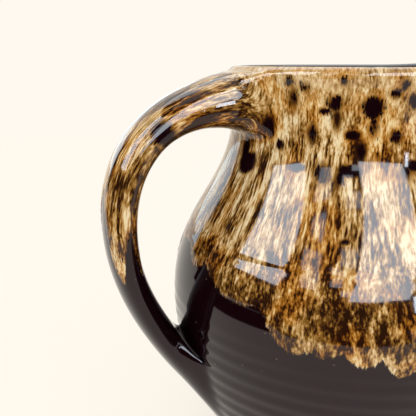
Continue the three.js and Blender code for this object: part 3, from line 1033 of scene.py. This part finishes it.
@dataclass
class ThrownClay:
    """The clay of wall, floor and foot. Only its bare foot and base show below the glaze."""

    wall: ThrownForm
    under_glaze: float = 0.75
    clearance: float = 0.3
    centre_radius: float = 4.0
    base_edge: float = 46.1
    base_rings: int = 8
    bevel: tuple[Pair, ...] = ((47.0, 0.0), (48.4, 0.3), (50.2, 1.7), (50.6, 3.0))
    outside_from: float = 6.0
    outside_rings: int = 26
    inside_rings: int = 20
    crest_half_width: float = 1.6
    crest_clearance: float = 0.4
    corner: tuple[Pair, ...] = ((4.0, 7.0), (13.0, 9.75))
    floor_start: float = 20.0
    wire_depth: float = 0.12
    wire_pitch: float = 3.2
    wire_bow: float = 0.004
    wire_fade: Pair = (41.6, 45.6)
    base_height: float = 0.05

    def line(self) -> list[Pair]:
        """The closed clay line as (radius, height), from near the middle of the base round to the floor's."""
        wall, under = self.wall, self.under_glaze + self.clearance
        base_radii = np.linspace(self.centre_radius, self.base_edge, self.base_rings)
        base = [(float(radius), 0.0) for radius in base_radii]
        bevel = bezier(self.bevel, 4)
        up = np.linspace(self.outside_from, wall.crest_start, self.outside_rings)
        outside = [(float(wall.radius(height)) - under, float(height)) for height in up]
        middle_radius, crest_top = wall.crest_middle
        crest_top -= self.under_glaze + self.crest_clearance
        crest = [(middle_radius + side * self.crest_half_width, crest_top) for side in (1, -1)]
        low = wall.floor_height + wall.floor_corner
        down = np.linspace(wall.crest_start, low, self.inside_rings)
        inside = [(float(wall.inner_radius(height)) + under, float(height)) for height in down]
        last = inside[-1][0]
        corner = [(last - inwards, low - drop) for inwards, drop in self.corner]
        radii = np.linspace(last - self.floor_start, self.centre_radius, 4)
        floor = [(float(radius), corner[-1][1]) for radius in radii]
        return [*base, *map(tuple, bevel), *outside, *crest, *inside, *corner, *floor]

    def build(self, material: bpy.types.Material) -> bpy.types.Object:
        """Extrudes the clay round its closed line and closes its two middles.

        Args:
            material: What the clay is.

        Returns:
            The finished piece.
        """
        clay = turned("thrown_clay", self.line())
        bpy.ops.mesh.edge_face_add()
        select_where(clay, "edges", lambda edge: edge.is_boundary)
        bpy.ops.mesh.edge_face_add()
        face_all()
        add_modifier(clay, "SUBSURF", levels=2, render_levels=2)
        places = corners_of(clay)
        bow = places[:, 1] + self.wire_bow * places[:, 0] ** 2
        marks = self.wire_depth * (0.5 + 0.5 * np.sin(2 * math.pi * bow / self.wire_pitch))
        marks *= 1 - smooth_step(*self.wire_fade, around_axis(places)[1])
        on_base = places[:, 2] < self.base_height
        places[:, 2] = np.where(on_base, marks, np.maximum(places[:, 2], 0))
        place_corners(clay, self.wall.pull_lip(places))
        finish_piece(clay, material, ["thrown_body"], sharp=40)
        return clay


# Finishes


def linear(hex_colour: str) -> tuple[float, float, float, float]:
    """Turns an sRGB colour such as "#c8a165" to linear red, green, blue and alpha."""
    parts = [int(hex_colour[place : place + 2], 16) / 255 for place in (1, 3, 5)]
    straight = [part / 12.92 if part <= 0.04045 else ((part + 0.055) / 1.055) ** 2.4 for part in parts]
    return (*straight, 1.0)


@dataclass(frozen=True)
class Graph:
    """The nodes of a material or the world. Each method adds nodes and gives back the output they end in."""

    tree: bpy.types.NodeTree

    def add(self, kind: str, values: dict[str | int, object] | None = None) -> bpy.types.Node:
        """Adds a node.

        Args:
            kind: The node's type, after "ShaderNode".
            values: What each property or input is set to, by its name or the input's number. An output is
                linked to the input, and "stops" holds a ramp's colours.

        Returns:
            The new node.
        """
        node = self.tree.nodes.new("ShaderNode" + kind)
        for name, value in (values or {}).items():
            if isinstance(value, Output):
                self.tree.links.new(value, node.inputs[name])
            elif name == "stops":
                ramp = node.color_ramp
                while len(ramp.elements) < len(value):
                    ramp.elements.new(1.0)
                for element, (position, colour) in zip(ramp.elements, value):
                    element.position, element.color = position, linear(colour)
            elif isinstance(name, str) and hasattr(node, name):
                setattr(node, name, value)
            else:
                node.inputs[name].default_value = value
        return node

    def math(self, operation: str, *terms: object) -> Output:
        """Works out numbers from numbers or outputs."""
        return self.add("Math", {"operation": operation, **dict(enumerate(terms))}).outputs[0]

    def weighted(self, parts: Sequence[tuple[Output, float]], total: object = 0.0) -> Output:
        """Adds outputs times their weights to a number or an output."""
        for part, weight in parts:
            total = self.math("MULTIPLY_ADD", part, weight, total)
        return total

    def vector(self, operation: str, *terms: object, output: str = "Vector") -> Output:
        """Works out vectors from vectors or outputs, or a number as its output "Value"."""
        return self.add("VectorMath", {"operation": operation, **dict(enumerate(terms))}).outputs[output]

    def attribute(self, name: str, output: str = "Fac") -> Output:
        """Reads what a mesh stores for each vertex."""
        return self.add("Attribute", {"attribute_name": name}).outputs[output]

    def stretched(self, vector: Output, stretch: float) -> Output:
        """Coordinates with their heights scaled, so that noise in them is drawn out or flattened."""
        return self.vector("MULTIPLY", vector, (1, 1, stretch))

    def height(self, vector: Output) -> Output:
        """The height among coordinates."""
        return self.add("SeparateXYZ", {0: vector}).outputs["Z"]

    def noise(
        self, vector: Output, width: float, detail: float, roughness: float = 0.5, output: str = "Fac"
    ) -> Output:
        """Noise from 0 to 1.

        Args:
            vector: Its coordinates.
            width: How wide its features are, in the coordinates' unit.
            detail: How many finer noises are added.
            roughness: How strong each of those is beside the coarser one.
            output: "Fac" for a number or "Color" for three.

        Returns:
            The noise.
        """
        values = {"Vector": vector, "Scale": 1 / width, "Detail": detail, "Roughness": roughness}
        return self.add("TexNoise", values).outputs[output]

    def cells(self, vector: Output, spacing: float, randomness: float = 1.0) -> bpy.types.Node:
        """Scattered points, with the distance to the nearest one in spacings and a colour for each."""
        return self.add("TexVoronoi", {"Vector": vector, "Scale": 1 / spacing, "Randomness": randomness})

    def mapped(
        self, value: Output, start: float, end: float, results: tuple = (0.0, 1.0), kind: str = "SMOOTHSTEP"
    ) -> Output:
        """Maps a range of a value, clamped at both ends.

        Args:
            value: The value.
            start: The value that gives the first result.
            end: The value that gives the second result.
            results: The two results, as numbers or outputs.
            kind: "SMOOTHSTEP" for level ends, or "LINEAR".

        Returns:
            The result.
        """
        values = {"interpolation_type": kind, "Value": value, "From Min": start, "From Max": end}
        return self.add("MapRange", {**values, "To Min": results[0], "To Max": results[1]}).outputs[0]

    def ramp(self, value: Output, stops: Sequence[tuple[float, str]]) -> Output:
        """Looks a value up in a ramp of colours."""
        return self.add("ValToRGB", {"stops": stops, "Fac": value}).outputs["Color"]

    def mixed(self, share: Output, first: object, second: object) -> Output:
        """Mixes two colours, by the share of the second one."""
        return self.add("Mix", {"data_type": "RGBA", "Factor": share, 6: first, 7: second}).outputs[2]

    def bump(self, height: Output, depth: float) -> Output:
        """Normals of fine relief, of a depth in millimetres."""
        return self.add("Bump", {"Distance": depth * MM, "Height": height}).outputs["Normal"]

    def end(self, shader: bpy.types.Node, kind: str = "OutputMaterial") -> None:
        """Ends the nodes in a shader."""
        self.add(kind, {"Surface": shader.outputs[0]})


def new_material(name: str) -> tuple[bpy.types.Material, Graph]:
    """Adds a material with no nodes.

    Args:
        name: What it is in a maker's words.

    Returns:
        The material and its nodes.
    """
    material = bpy.data.materials.new(name)
    material.use_nodes = True
    material.node_tree.nodes.clear()
    return material, Graph(material.node_tree)


@dataclass(frozen=True)
class Spot:
    """A place where the dark glaze broke through: its turn in degrees, its height and its radius."""

    turn: float
    height: float
    radius: float


class SpotShape(Enum):
    """How wide spots are, as shares of their height."""

    FLAT = 2.7
    WIDE = 1.6
    ROUND = 0.9
    LONG = 0.45


PLACED_SPOTS = {
    SpotShape.FLAT: (
        Spot(234.8, 141.2, 3.4),
        Spot(215.0, 141.4, 2.6),
        Spot(257.3, 143.3, 3.0),
        Spot(219.5, 110.5, 0.3),
        Spot(234.5, 118.6, 0.6),
    ),
    SpotShape.WIDE: (
        Spot(224.6, 161.4, 1.4),
        Spot(235.1, 153.6, 2.0),
        Spot(190.5, 140.0, 4.4),
    ),
    SpotShape.ROUND: (
        Spot(241.4, 163.1, 3.1),
        Spot(227.9, 164.2, 2.1),
        Spot(230.2, 171.6, 0.9),
        Spot(210.6, 171.2, 1.0),
        Spot(216.8, 169.7, 1.2),
        Spot(251.2, 170.7, 1.0),
        Spot(248.8, 167.8, 1.1),
        Spot(255.5, 165.1, 1.9),
        Spot(206.5, 148.6, 1.2),
        Spot(250.2, 152.9, 1.5),
        Spot(225.1, 139.8, 1.6),
        Spot(231.8, 138.5, 1.0),
        Spot(253.9, 141.0, 0.7),
    ),
    SpotShape.LONG: (
        Spot(219.9, 153.8, 1.1),
        Spot(201.6, 155.0, 1.7),
        Spot(228.6, 158.6, 0.9),
        Spot(242.0, 156.5, 0.8),
        Spot(238.2, 148.5, 0.8),
        Spot(212.0, 165.4, 1.0),
    ),
}


@dataclass(frozen=True)
class Runs:
    """Noise of one width that is drawn out down the wall, about 0, and what it does to the second glaze.

    Its stretch is its width as a share of its length. It makes the tan paler by its tone, and the spots wider
    by its raggedness, in millimetres.
    """

    width: float
    stretch: float
    tone: float
    raggedness: float = 0.0


@dataclass(frozen=True)
class TwoDipGlaze:
    """Stoneware glaze in two dips: glossy iron brown-black, and a tan rutile one that ran over it in hairs.

    The first dip gives a near-black mirror with tiny pale specks. The second breaks from cream through amber
    to brown in fine vertical hairs. It has dark spots where the first came through, and frays at its edge.
    """

    name: str
    wall: ThrownForm
    hairs: Runs = Runs(0.75, 0.24, 0.9, 4.0)
    streaks: Runs = Runs(2.4, 0.3, 1.4, 5.0)
    patches: Runs = Runs(7.0, 0.5, 1.05)
    strands: Runs = Runs(1.6, 0.2, 1.5, 3.5)
    grain: Runs = Runs(0.6, 0.4, 0.75, 4.0)
    strand_middle: float = 0.08
    runs_detail: float = 2.5
    runs_roughness: float = 0.55
    warp_width: float = 9.0
    warp_stretch: float = 0.35
    warp: float = 2.4
    mean_tone: float = 0.5
    least_tone: float = 0.22
    tan: tuple[tuple[float, str], ...] = (
        (0.12, "#120807"),
        (0.24, "#2e180b"),
        (0.36, "#62401a"),
        (0.46, "#8f682c"),
        (0.56, "#b8915a"),
        (0.67, "#d8b986"),
        (0.82, "#f1e0bb"),
    )
    amber: tuple[tuple[float, str], ...] = (
        (0.12, "#120807"),
        (0.27, "#331809"),
        (0.40, "#7d4b14"),
        (0.52, "#ac742b"),
        (0.66, "#d2a25c"),
        (0.82, "#efd9a8"),
    )
    amber_width: float = 11.0
    amber_range: Pair = (0.42, 0.62)
    fray: float = 2.4
    fray_range: Pair = (0.2, 1.6)
    spot_edge: Pair = (-0.5, 0.7)
    halo_width: float = 1.4
    halo_tone: float = -0.16
    small_spacing: float = 10.0
    small_randomness: float = 0.85
    small_stretch: float = 0.6
    small_from: float = 0.2
    small_radii: Pair = (-0.6, 4.2)
    small_thin_out: Pair = (146.0, 120.0)
    small_shrink: float = 5.0
    placed_turn: float = math.radians(230)
    placed_spread: Pair = (math.radians(40), math.radians(32))
    placed_shrink: float = 8.0
    dark: tuple[tuple[float, str], ...] = ((0.0, "#150509"), (0.15, "#1a060e"), (0.3, "#290e0e"))
    speck: str = "#8a745c"
    speck_share: float = 0.55
    speck_spacing: float = 5.0
    speck_size: float = 0.45
    roughness: float = 0.06
    ior: float = 1.46
    mirror_tint: str = "#fff8fc"
    ripple_width: float = 9.0
    ripple_depth: float = 0.05
    hair_relief: float = 0.004

    def build(self) -> bpy.types.Material:
        """Makes the material of this coat."""
        material, graph = new_material(self.name)
        flow = graph.attribute("flow", "Vector")

        # The hairs wander a little sideways as they run down
        long_ways = graph.stretched(flow, self.warp_stretch)
        drift = graph.noise(long_ways, self.warp_width, detail=1.5, output="Color")
        drift = graph.vector("SUBTRACT", drift, (0.5, 0.5, 0.5))
        wandering = graph.vector("ADD", flow, graph.vector("MULTIPLY", drift, (self.warp,) * 3))
        runs = {
            kind: self.run_noise(graph, wandering, kind)
            for kind in (self.hairs, self.streaks, self.patches, self.strands, self.grain)
        }
        strands = graph.math("ABSOLUTE", runs[self.strands])
        runs[self.strands] = graph.math("SUBTRACT", self.strand_middle, strands)
        ragged = graph.math("ADD", runs[self.hairs], runs[self.grain])
        away_from_spots = self.away_from_spots(graph, wandering, flow, runs)
        tan = self.tan_colour(graph, wandering, away_from_spots, runs)

        # The edge of the second dip frays into hairs over the first
        frayed = graph.math("MULTIPLY_ADD", ragged, self.fray, graph.attribute("above_drip"))
        frayed = graph.mapped(frayed, *self.fray_range)
        covered = graph.math("MULTIPLY", frayed, graph.mapped(away_from_spots, *self.spot_edge))
        colour = graph.mixed(covered, self.dark_colour(graph, flow, runs[self.patches]), tan)

        # Molten glaze pools and ripples a little, and each hair stands up by a hundredth
        relief = graph.math("MULTIPLY", ragged, self.hair_relief / self.ripple_depth)
        relief = graph.math("MULTIPLY_ADD", relief, covered, graph.noise(flow, self.ripple_width, detail=1.0))
        surface = {
            "Base Color": colour,
            "Normal": graph.bump(relief, self.ripple_depth),
            "Roughness": self.roughness,
            "IOR": self.ior,
            "Specular Tint": linear(self.mirror_tint),
        }
        graph.end(graph.add("BsdfPrincipled", surface))
        return material

    def run_noise(self, graph: Graph, wandering: Output, kind: Runs) -> Output:
        """Noise of one kind, drawn out down the wall, about 0."""
        drawn = graph.stretched(wandering, kind.stretch)
        noise = graph.noise(drawn, kind.width, self.runs_detail, self.runs_roughness)
        return graph.math("SUBTRACT", noise, 0.5)

    def tan_colour(
        self, graph: Graph, wandering: Output, away_from_spots: Output, runs: dict[Runs, Output]
    ) -> Output:
        """The colour of the second dip: tan and amber, paler where it is thick and darker where shade is
        painted on the strap's inner face, with rusty halos round spots.

        Args:
            graph: The material's nodes.
            wandering: The flow's coordinates, with the hairs' drift.
            away_from_spots: The distance outside the nearest spot, in millimetres.
            runs: The noise of each kind.

        Returns:
            The colour.
        """
        bold = graph.weighted(
            [(runs[kind], kind.tone) for kind in (self.hairs, self.streaks, self.patches, self.strands)]
        )
        # The stored thickness also carries painted shade on the strap's inner face
        thickness = graph.math("ADD", graph.attribute("thickness"), self.mean_tone)
        thickness = graph.weighted([(runs[self.grain], self.grain.tone)], thickness)
        tone = graph.math("MULTIPLY_ADD", bold, graph.attribute("boldness"), thickness)
        tone = graph.math("MAXIMUM", tone, self.least_tone)
        halo = graph.mapped(away_from_spots, 0.0, self.halo_width, (self.halo_tone, 0.0))
        tone = graph.math("ADD", tone, halo)
        iron_rich = graph.mapped(graph.noise(wandering, self.amber_width, detail=2.0), *self.amber_range)
        return graph.mixed(iron_rich, graph.ramp(tone, self.tan), graph.ramp(tone, self.amber))

    def away_from_spots(
        self, graph: Graph, wandering: Output, flow: Output, runs: dict[Runs, Output]
    ) -> Output:
        """The distance outside the nearest spot where the dark glaze came through, with hairy edges.

        Args:
            graph: The material's nodes.
            wandering: The flow's coordinates, with the hairs' drift.
            flow: The flow's coordinates.
            runs: The noise of each kind.

        Returns:
            The distance in millimetres.
        """
        nearest = self.away_from_small_spots(graph, wandering, flow)
        for shape, spots in PLACED_SPOTS.items():
            scaled = graph.stretched(wandering, shape.value)
            for spot in spots:
                place = self.spot_place(spot, shape.value)
                away = graph.vector("DISTANCE", scaled, place, output="Value")
                nearest = graph.math("MINIMUM", nearest, graph.math("SUBTRACT", away, spot.radius))
        edges = [(noise, -kind.raggedness) for kind, noise in runs.items() if kind.raggedness]
        return graph.weighted(edges, nearest)

    def spot_place(self, spot: Spot, stretch: float) -> tuple[float, float, float]:
        """Where a spot is in the flow's stretched coordinates."""
        turn = math.radians(spot.turn)
        down = float(self.wall.down_from_crest(np.array(spot.height)))
        height = (self.wall.rim_height - down) * stretch
        return FLOW_RADIUS * math.cos(turn), FLOW_RADIUS * math.sin(turn), height

    def away_from_small_spots(self, graph: Graph, wandering: Output, flow: Output) -> Output:
        """The distance outside the nearest scattered spot, in millimetres.

        Few of them lie low on the wall, and few lie among the placed ones.
        """
        scaled = graph.stretched(wandering, self.small_stretch)
        cells = graph.cells(scaled, self.small_spacing, self.small_randomness)
        size = graph.add("SeparateXYZ", {0: cells.outputs["Color"]}).outputs["X"]
        radius = graph.mapped(size, self.small_from, 1.0, self.small_radii, "LINEAR")
        away = graph.math("MULTIPLY", cells.outputs["Distance"], self.small_spacing)
        away = graph.math("SUBTRACT", away, radius)
        towards = (math.cos(self.placed_turn), math.sin(self.placed_turn), 0)
        facing = graph.vector("DOT_PRODUCT", flow, towards, output="Value")
        start, end = (FLOW_RADIUS * math.cos(spread) for spread in self.placed_spread)
        among_placed = graph.mapped(facing, start, end, (0.0, self.placed_shrink))
        low = graph.mapped(graph.height(flow), *self.small_thin_out, (0.0, self.small_shrink))
        return graph.math("ADD", graph.math("ADD", away, among_placed), low)

    def dark_colour(self, graph: Graph, flow: Output, patches: Output) -> Output:
        """The colour of the first dip: brown-black, a little browner in patches, with tiny pale specks."""
        distance = graph.cells(flow, self.speck_spacing).outputs["Distance"]
        reach = self.speck_size / self.speck_spacing
        speck = graph.mapped(distance, reach, 0.0, (0.0, self.speck_share), "LINEAR")
        return graph.mixed(speck, graph.ramp(patches, self.dark), linear(self.speck))


@dataclass(frozen=True)
class BareClay:
    """Fired buff stoneware, left bare: matte and toasted, with fine dark and pale grog in it."""

    name: str = "bare_buff_stoneware"
    light: str = "#c09a70"
    toasted: str = "#8f6540"
    grog: str = "#4a3424"
    toast_range: Pair = (0.3, 0.7)
    toast_width: float = 18.0
    grog_spacing: float = 1.3
    grog_share: float = 0.8
    grog_range: Pair = (0.2, 0.1)
    grain: float = 0.5
    relief: float = 0.08
    roughness: float = 0.85

    def build(self) -> bpy.types.Material:
        """Makes the material."""
        material, graph = new_material(self.name)
        place = graph.add("TexCoord").outputs["Object"]
        toast = graph.noise(place, self.toast_width * MM, detail=4.0)
        grain = graph.noise(place, self.grain * MM, detail=3.0)
        base = graph.ramp(toast, list(zip(self.toast_range, (self.toasted, self.light))))
        cells = graph.cells(place, self.grog_spacing * MM).outputs["Distance"]
        speck = graph.mapped(cells, *self.grog_range, (0.0, self.grog_share), "LINEAR")
        surface = {
            "Base Color": graph.mixed(speck, base, linear(self.grog)),
            "Normal": graph.bump(grain, self.relief),
            "Roughness": self.roughness,
        }
        graph.end(graph.add("BsdfPrincipled", surface))
        return material


# Studio


@dataclass(frozen=True)
class Pane:
    """A bright pane that the glaze mirrors: where the jug sees it, in degrees, and how bright it is."""

    turns: Pair
    upper_turns: Pair
    elevations: Pair
    strength: float


@dataclass(frozen=True)
class Lamp:
    """A soft square lamp: its turn and elevation in degrees, its side in metres, and its power.

    Its power is its radiance, where 1 is white paper.
    """

    name: str
    turn: float
    elevation: float
    size: float
    power: float


@dataclass
class Studio:
    """The pale floor and world, the soft lamps, what the glaze mirrors of the room, and the camera."""

    pale: str = "#fff9ef"
    paper: str = "#f2ece2"
    daylight: str = "#e9f8ff"
    floor_size: float = 6.0
    floor_glow: float = 0.785
    floor_paper: float = 0.26
    floor_near: Pair = (0.25, 1.6)
    dim: float = 0.56
    lens: float = 48.8
    clip_start: float = 0.005
    camera_place: tuple[float, float, float] = (-142.4, -211.2, 178.4)
    camera_heading: float = math.radians(70.7)
    camera_tilt: float = math.radians(14.65)
    aim: tuple[float, float, float] = (0.0, 0.0, 0.11)
    lamp_distance: float = 1.68
    lamps: tuple[Lamp, ...] = (
        Lamp("key_lamp", 222, 42, 1.1, 2.7),
        Lamp("fill_lamp", 292, 30, 1.1, 1.2),
        Lamp("back_lamp", 60, 48, 1.2, 1.9),
    )
    room_distance: float = 2.4
    pane_distance: float = 2.28
    room_steps: int = 12
    panes: tuple[Pane, ...] = (
        Pane((160, 195), (160, 195), (17.5, 58), 9.8),
        Pane((237.5, 272), (250, 300), (16.5, 58), 9.8),
        Pane((204, 215), (202, 214), (40.5, 58), 4.5),
        Pane((208, 218), (203, 217), (21, 37.5), 4.0),
        Pane((231, 241), (230, 243), (34, 40), 4.0),
        Pane((226, 234), (225, 232), (26, 33), 4.0),
        Pane((233, 242), (233, 242), (19, 23), 5.0),
        Pane((274.4, 277.0), (274.4, 277.0), (9, 18), 24.0),
        Pane((15, 115), (15, 115), (38, 80), 3.0),
        Pane((78, 118), (78, 118), (0, 14), 2.4),
    )
    dark_wall: Pane = Pane((119, 292), (119, 292), (-6, 66), 0.0)
    dark_edge: tuple[Pair, ...] = (
        (-520, 560),
        (-455, 330),
        (-440, 150),
        (-450, 30),
        (-430, -80),
        (-375, -200),
        (-293, -300),
        (-178, -380),
        (-70, -490),
        (10, -560),
    )
    dark_far: tuple[Pair, ...] = ((40, -2200), (-2300, -2300), (-1700, 1900))
    dark_height: float = 0.5

    def camera(self) -> None:
        """Places the camera where the photograph was taken from."""
        bpy.ops.object.camera_add(location=[place * MM for place in self.camera_place])
        camera = bpy.context.object
        camera.rotation_euler = (math.pi / 2 - self.camera_tilt, 0, self.camera_heading - math.pi / 2)
        camera.data.lens = self.lens
        camera.data.clip_start = self.clip_start
        bpy.context.scene.camera = camera

    def seen_share(self, graph: Graph) -> Output:
        """1 for rays from the camera, by a mirror or through glass, and 0 for the rays that light things."""
        paths = graph.add("LightPath").outputs
        mirrored = graph.math("MAXIMUM", paths["Is Camera Ray"], paths["Is Glossy Ray"])
        return graph.math("MAXIMUM", mirrored, paths["Is Transmission Ray"])

    def floor(self) -> None:
        """Lays the pale floor, which keeps the jug's shadow."""
        deselect_all()
        bpy.ops.mesh.primitive_circle_add(vertices=96, radius=self.floor_size, fill_type="NGON")
        floor = bpy.context.object
        floor.name = "studio_floor"
        material, graph = new_material("pale_paper_floor")
        place = graph.add("TexCoord").outputs["Object"]
        away = graph.vector("LENGTH", place, output="Value")
        seen = self.seen_share(graph)
        glow = graph.mapped(away, *self.floor_near, (self.floor_glow, 1.0))
        strength = graph.math("MULTIPLY", glow, seen)
        glow = graph.add("Emission", {"Color": linear(self.pale), "Strength": strength})
        share = graph.mapped(away, *self.floor_near, (self.floor_paper, 0.0))
        share = graph.mapped(seen, 0.0, 1.0, (1.0, share), "LINEAR")
        black = graph.add("BsdfDiffuse", {"Color": (0, 0, 0, 1)})
        paper = graph.add("BsdfDiffuse", {"Color": linear(self.paper)})
        paper = graph.add("MixShader", {0: share, 1: black.outputs[0], 2: paper.outputs[0]})
        graph.end(graph.add("AddShader", {0: paper.outputs[0], 1: glow.outputs[0]}))
        floor.data.materials.append(material)

    def world(self) -> None:
        """Sets a world that is pale to the camera and in mirrors, and dim as a light."""
        world = bpy.data.worlds.new("pale_studio")
        bpy.context.scene.world = world
        world.use_nodes = True
        world.node_tree.nodes.clear()
        graph = Graph(world.node_tree)
        strength = graph.mapped(self.seen_share(graph), 0.0, 1.0, (self.dim, 1.0), "LINEAR")
        sky = graph.add("Background", {"Color": linear(self.pale), "Strength": strength})
        graph.end(sky, "OutputWorld")

    def hang(self, lamp: Lamp) -> None:
        """Hangs a lamp that faces the jug and shows in no mirror."""
        towards = self.direction(lamp.turn, lamp.elevation)
        light = bpy.data.lights.new(lamp.name, "AREA")
        light.size = lamp.size
        light.energy = lamp.power * lamp.size**2 * math.pi
        thing = bpy.data.objects.new(lamp.name, light)
        bpy.context.collection.objects.link(thing)
        thing.location = Vector(self.aim) + towards * self.lamp_distance
        thing.rotation_euler = towards.to_track_quat("Z", "Y").to_euler()
        thing.visible_glossy = False

    def direction(self, turn: float, elevation: float) -> Vector:
        """The direction from the jug at a turn and an elevation, in degrees."""
        around, up = math.radians(turn), math.radians(elevation)
        return Vector((math.cos(around) * math.cos(up), math.sin(around) * math.cos(up), math.sin(up)))

    def room_patch(self, name: str, pane: Pane, distance: float) -> bpy.types.Object:
        """Adds a curved patch of the room that only mirrors show.

        Args:
            name: The patch's name, also of its material.
            pane: Where it is and how bright it is.
            distance: How far from the jug it is, in metres.

        Returns:
            The patch.
        """
        deselect_all()
        steps = self.room_steps
        bpy.ops.mesh.primitive_grid_add(x_subdivisions=steps, y_subdivisions=steps, size=1)
        patch = bpy.context.object
        patch.name = name
        for corner in patch.data.vertices:
            across, up = corner.co.x + 0.5, corner.co.y + 0.5
            low, high = (start + across * (end - start) for start, end in (pane.turns, pane.upper_turns))
            elevation = pane.elevations[0] + up * (pane.elevations[1] - pane.elevations[0])
            corner.co = Vector(self.aim) + self.direction(low + up * (high - low), elevation) * distance
        material, graph = new_material(name)
        light = {"Color": linear(self.daylight), "Strength": pane.strength}
        graph.end(graph.add("Emission", light))
        patch.data.materials.append(material)
        self.only_in_mirrors(patch)
        return patch

    def only_in_mirrors(self, thing: bpy.types.Object) -> None:
        """Hides a part of the room from all rays but those of mirrors."""
        thing.visible_camera = thing.visible_diffuse = thing.visible_shadow = False
        thing.visible_transmission = thing.visible_volume_scatter = False

    def room(self) -> None:
        """Builds what the glaze mirrors: a dark room with bright window panes, down to the floor's edge."""
        wall = self.room_patch("dark_room_wall", self.dark_wall, self.room_distance)
        deselect_all()
        outline = [*self.dark_edge, *self.dark_far]
        bpy.ops.mesh.primitive_circle_add(vertices=len(outline), fill_type="NGON")
        ground = bpy.context.object
        ground.name = "dark_room_floor"
        for corner, place in zip(ground.data.vertices, outline):
            corner.co = Vector((*place, self.dark_height)) * MM
        ground.data.materials.append(wall.data.materials[0])
        self.only_in_mirrors(ground)
        for number, pane in enumerate(self.panes, 1):
            self.room_patch(f"window_pane_{number}", pane, self.pane_distance)

    def build(self) -> None:
        """Sets up the whole studio."""
        self.floor()
        self.world()
        self.room()
        for lamp in self.lamps:
            self.hang(lamp)
        self.camera()
        bpy.context.scene.view_settings.view_transform = "Standard"


def main() -> None:
    """Builds the jug's pieces in order, dresses them and sets up the studio."""
    logging.basicConfig(level=logging.INFO, format="%(message)s")
    wall = ThrownForm()
    clay = BareClay().build()
    glazes = {coat: TwoDipGlaze(name, wall).build() for coat, name in GLAZE_NAMES.items()}
    skin = GlazedSkin(wall, StrapForm(), DripLine()).build()
    coats = OuterCoats()
    coats.build_streaked(skin, glazes[Coat.STREAKED])
    coats.build_dark(skin, glazes[Coat.DARK])
    Inside(wall).build(glazes[Coat.LINING])
    ThrownClay(wall).build(clay)
    for name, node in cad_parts.items():
        if not node.hide_render:
            node.data.materials.clear()
            node.data.materials.append(clay)
            log.info("%s keeps its CAD shape", name)
    Studio().build()


if __name__ == "__main__":
    main()
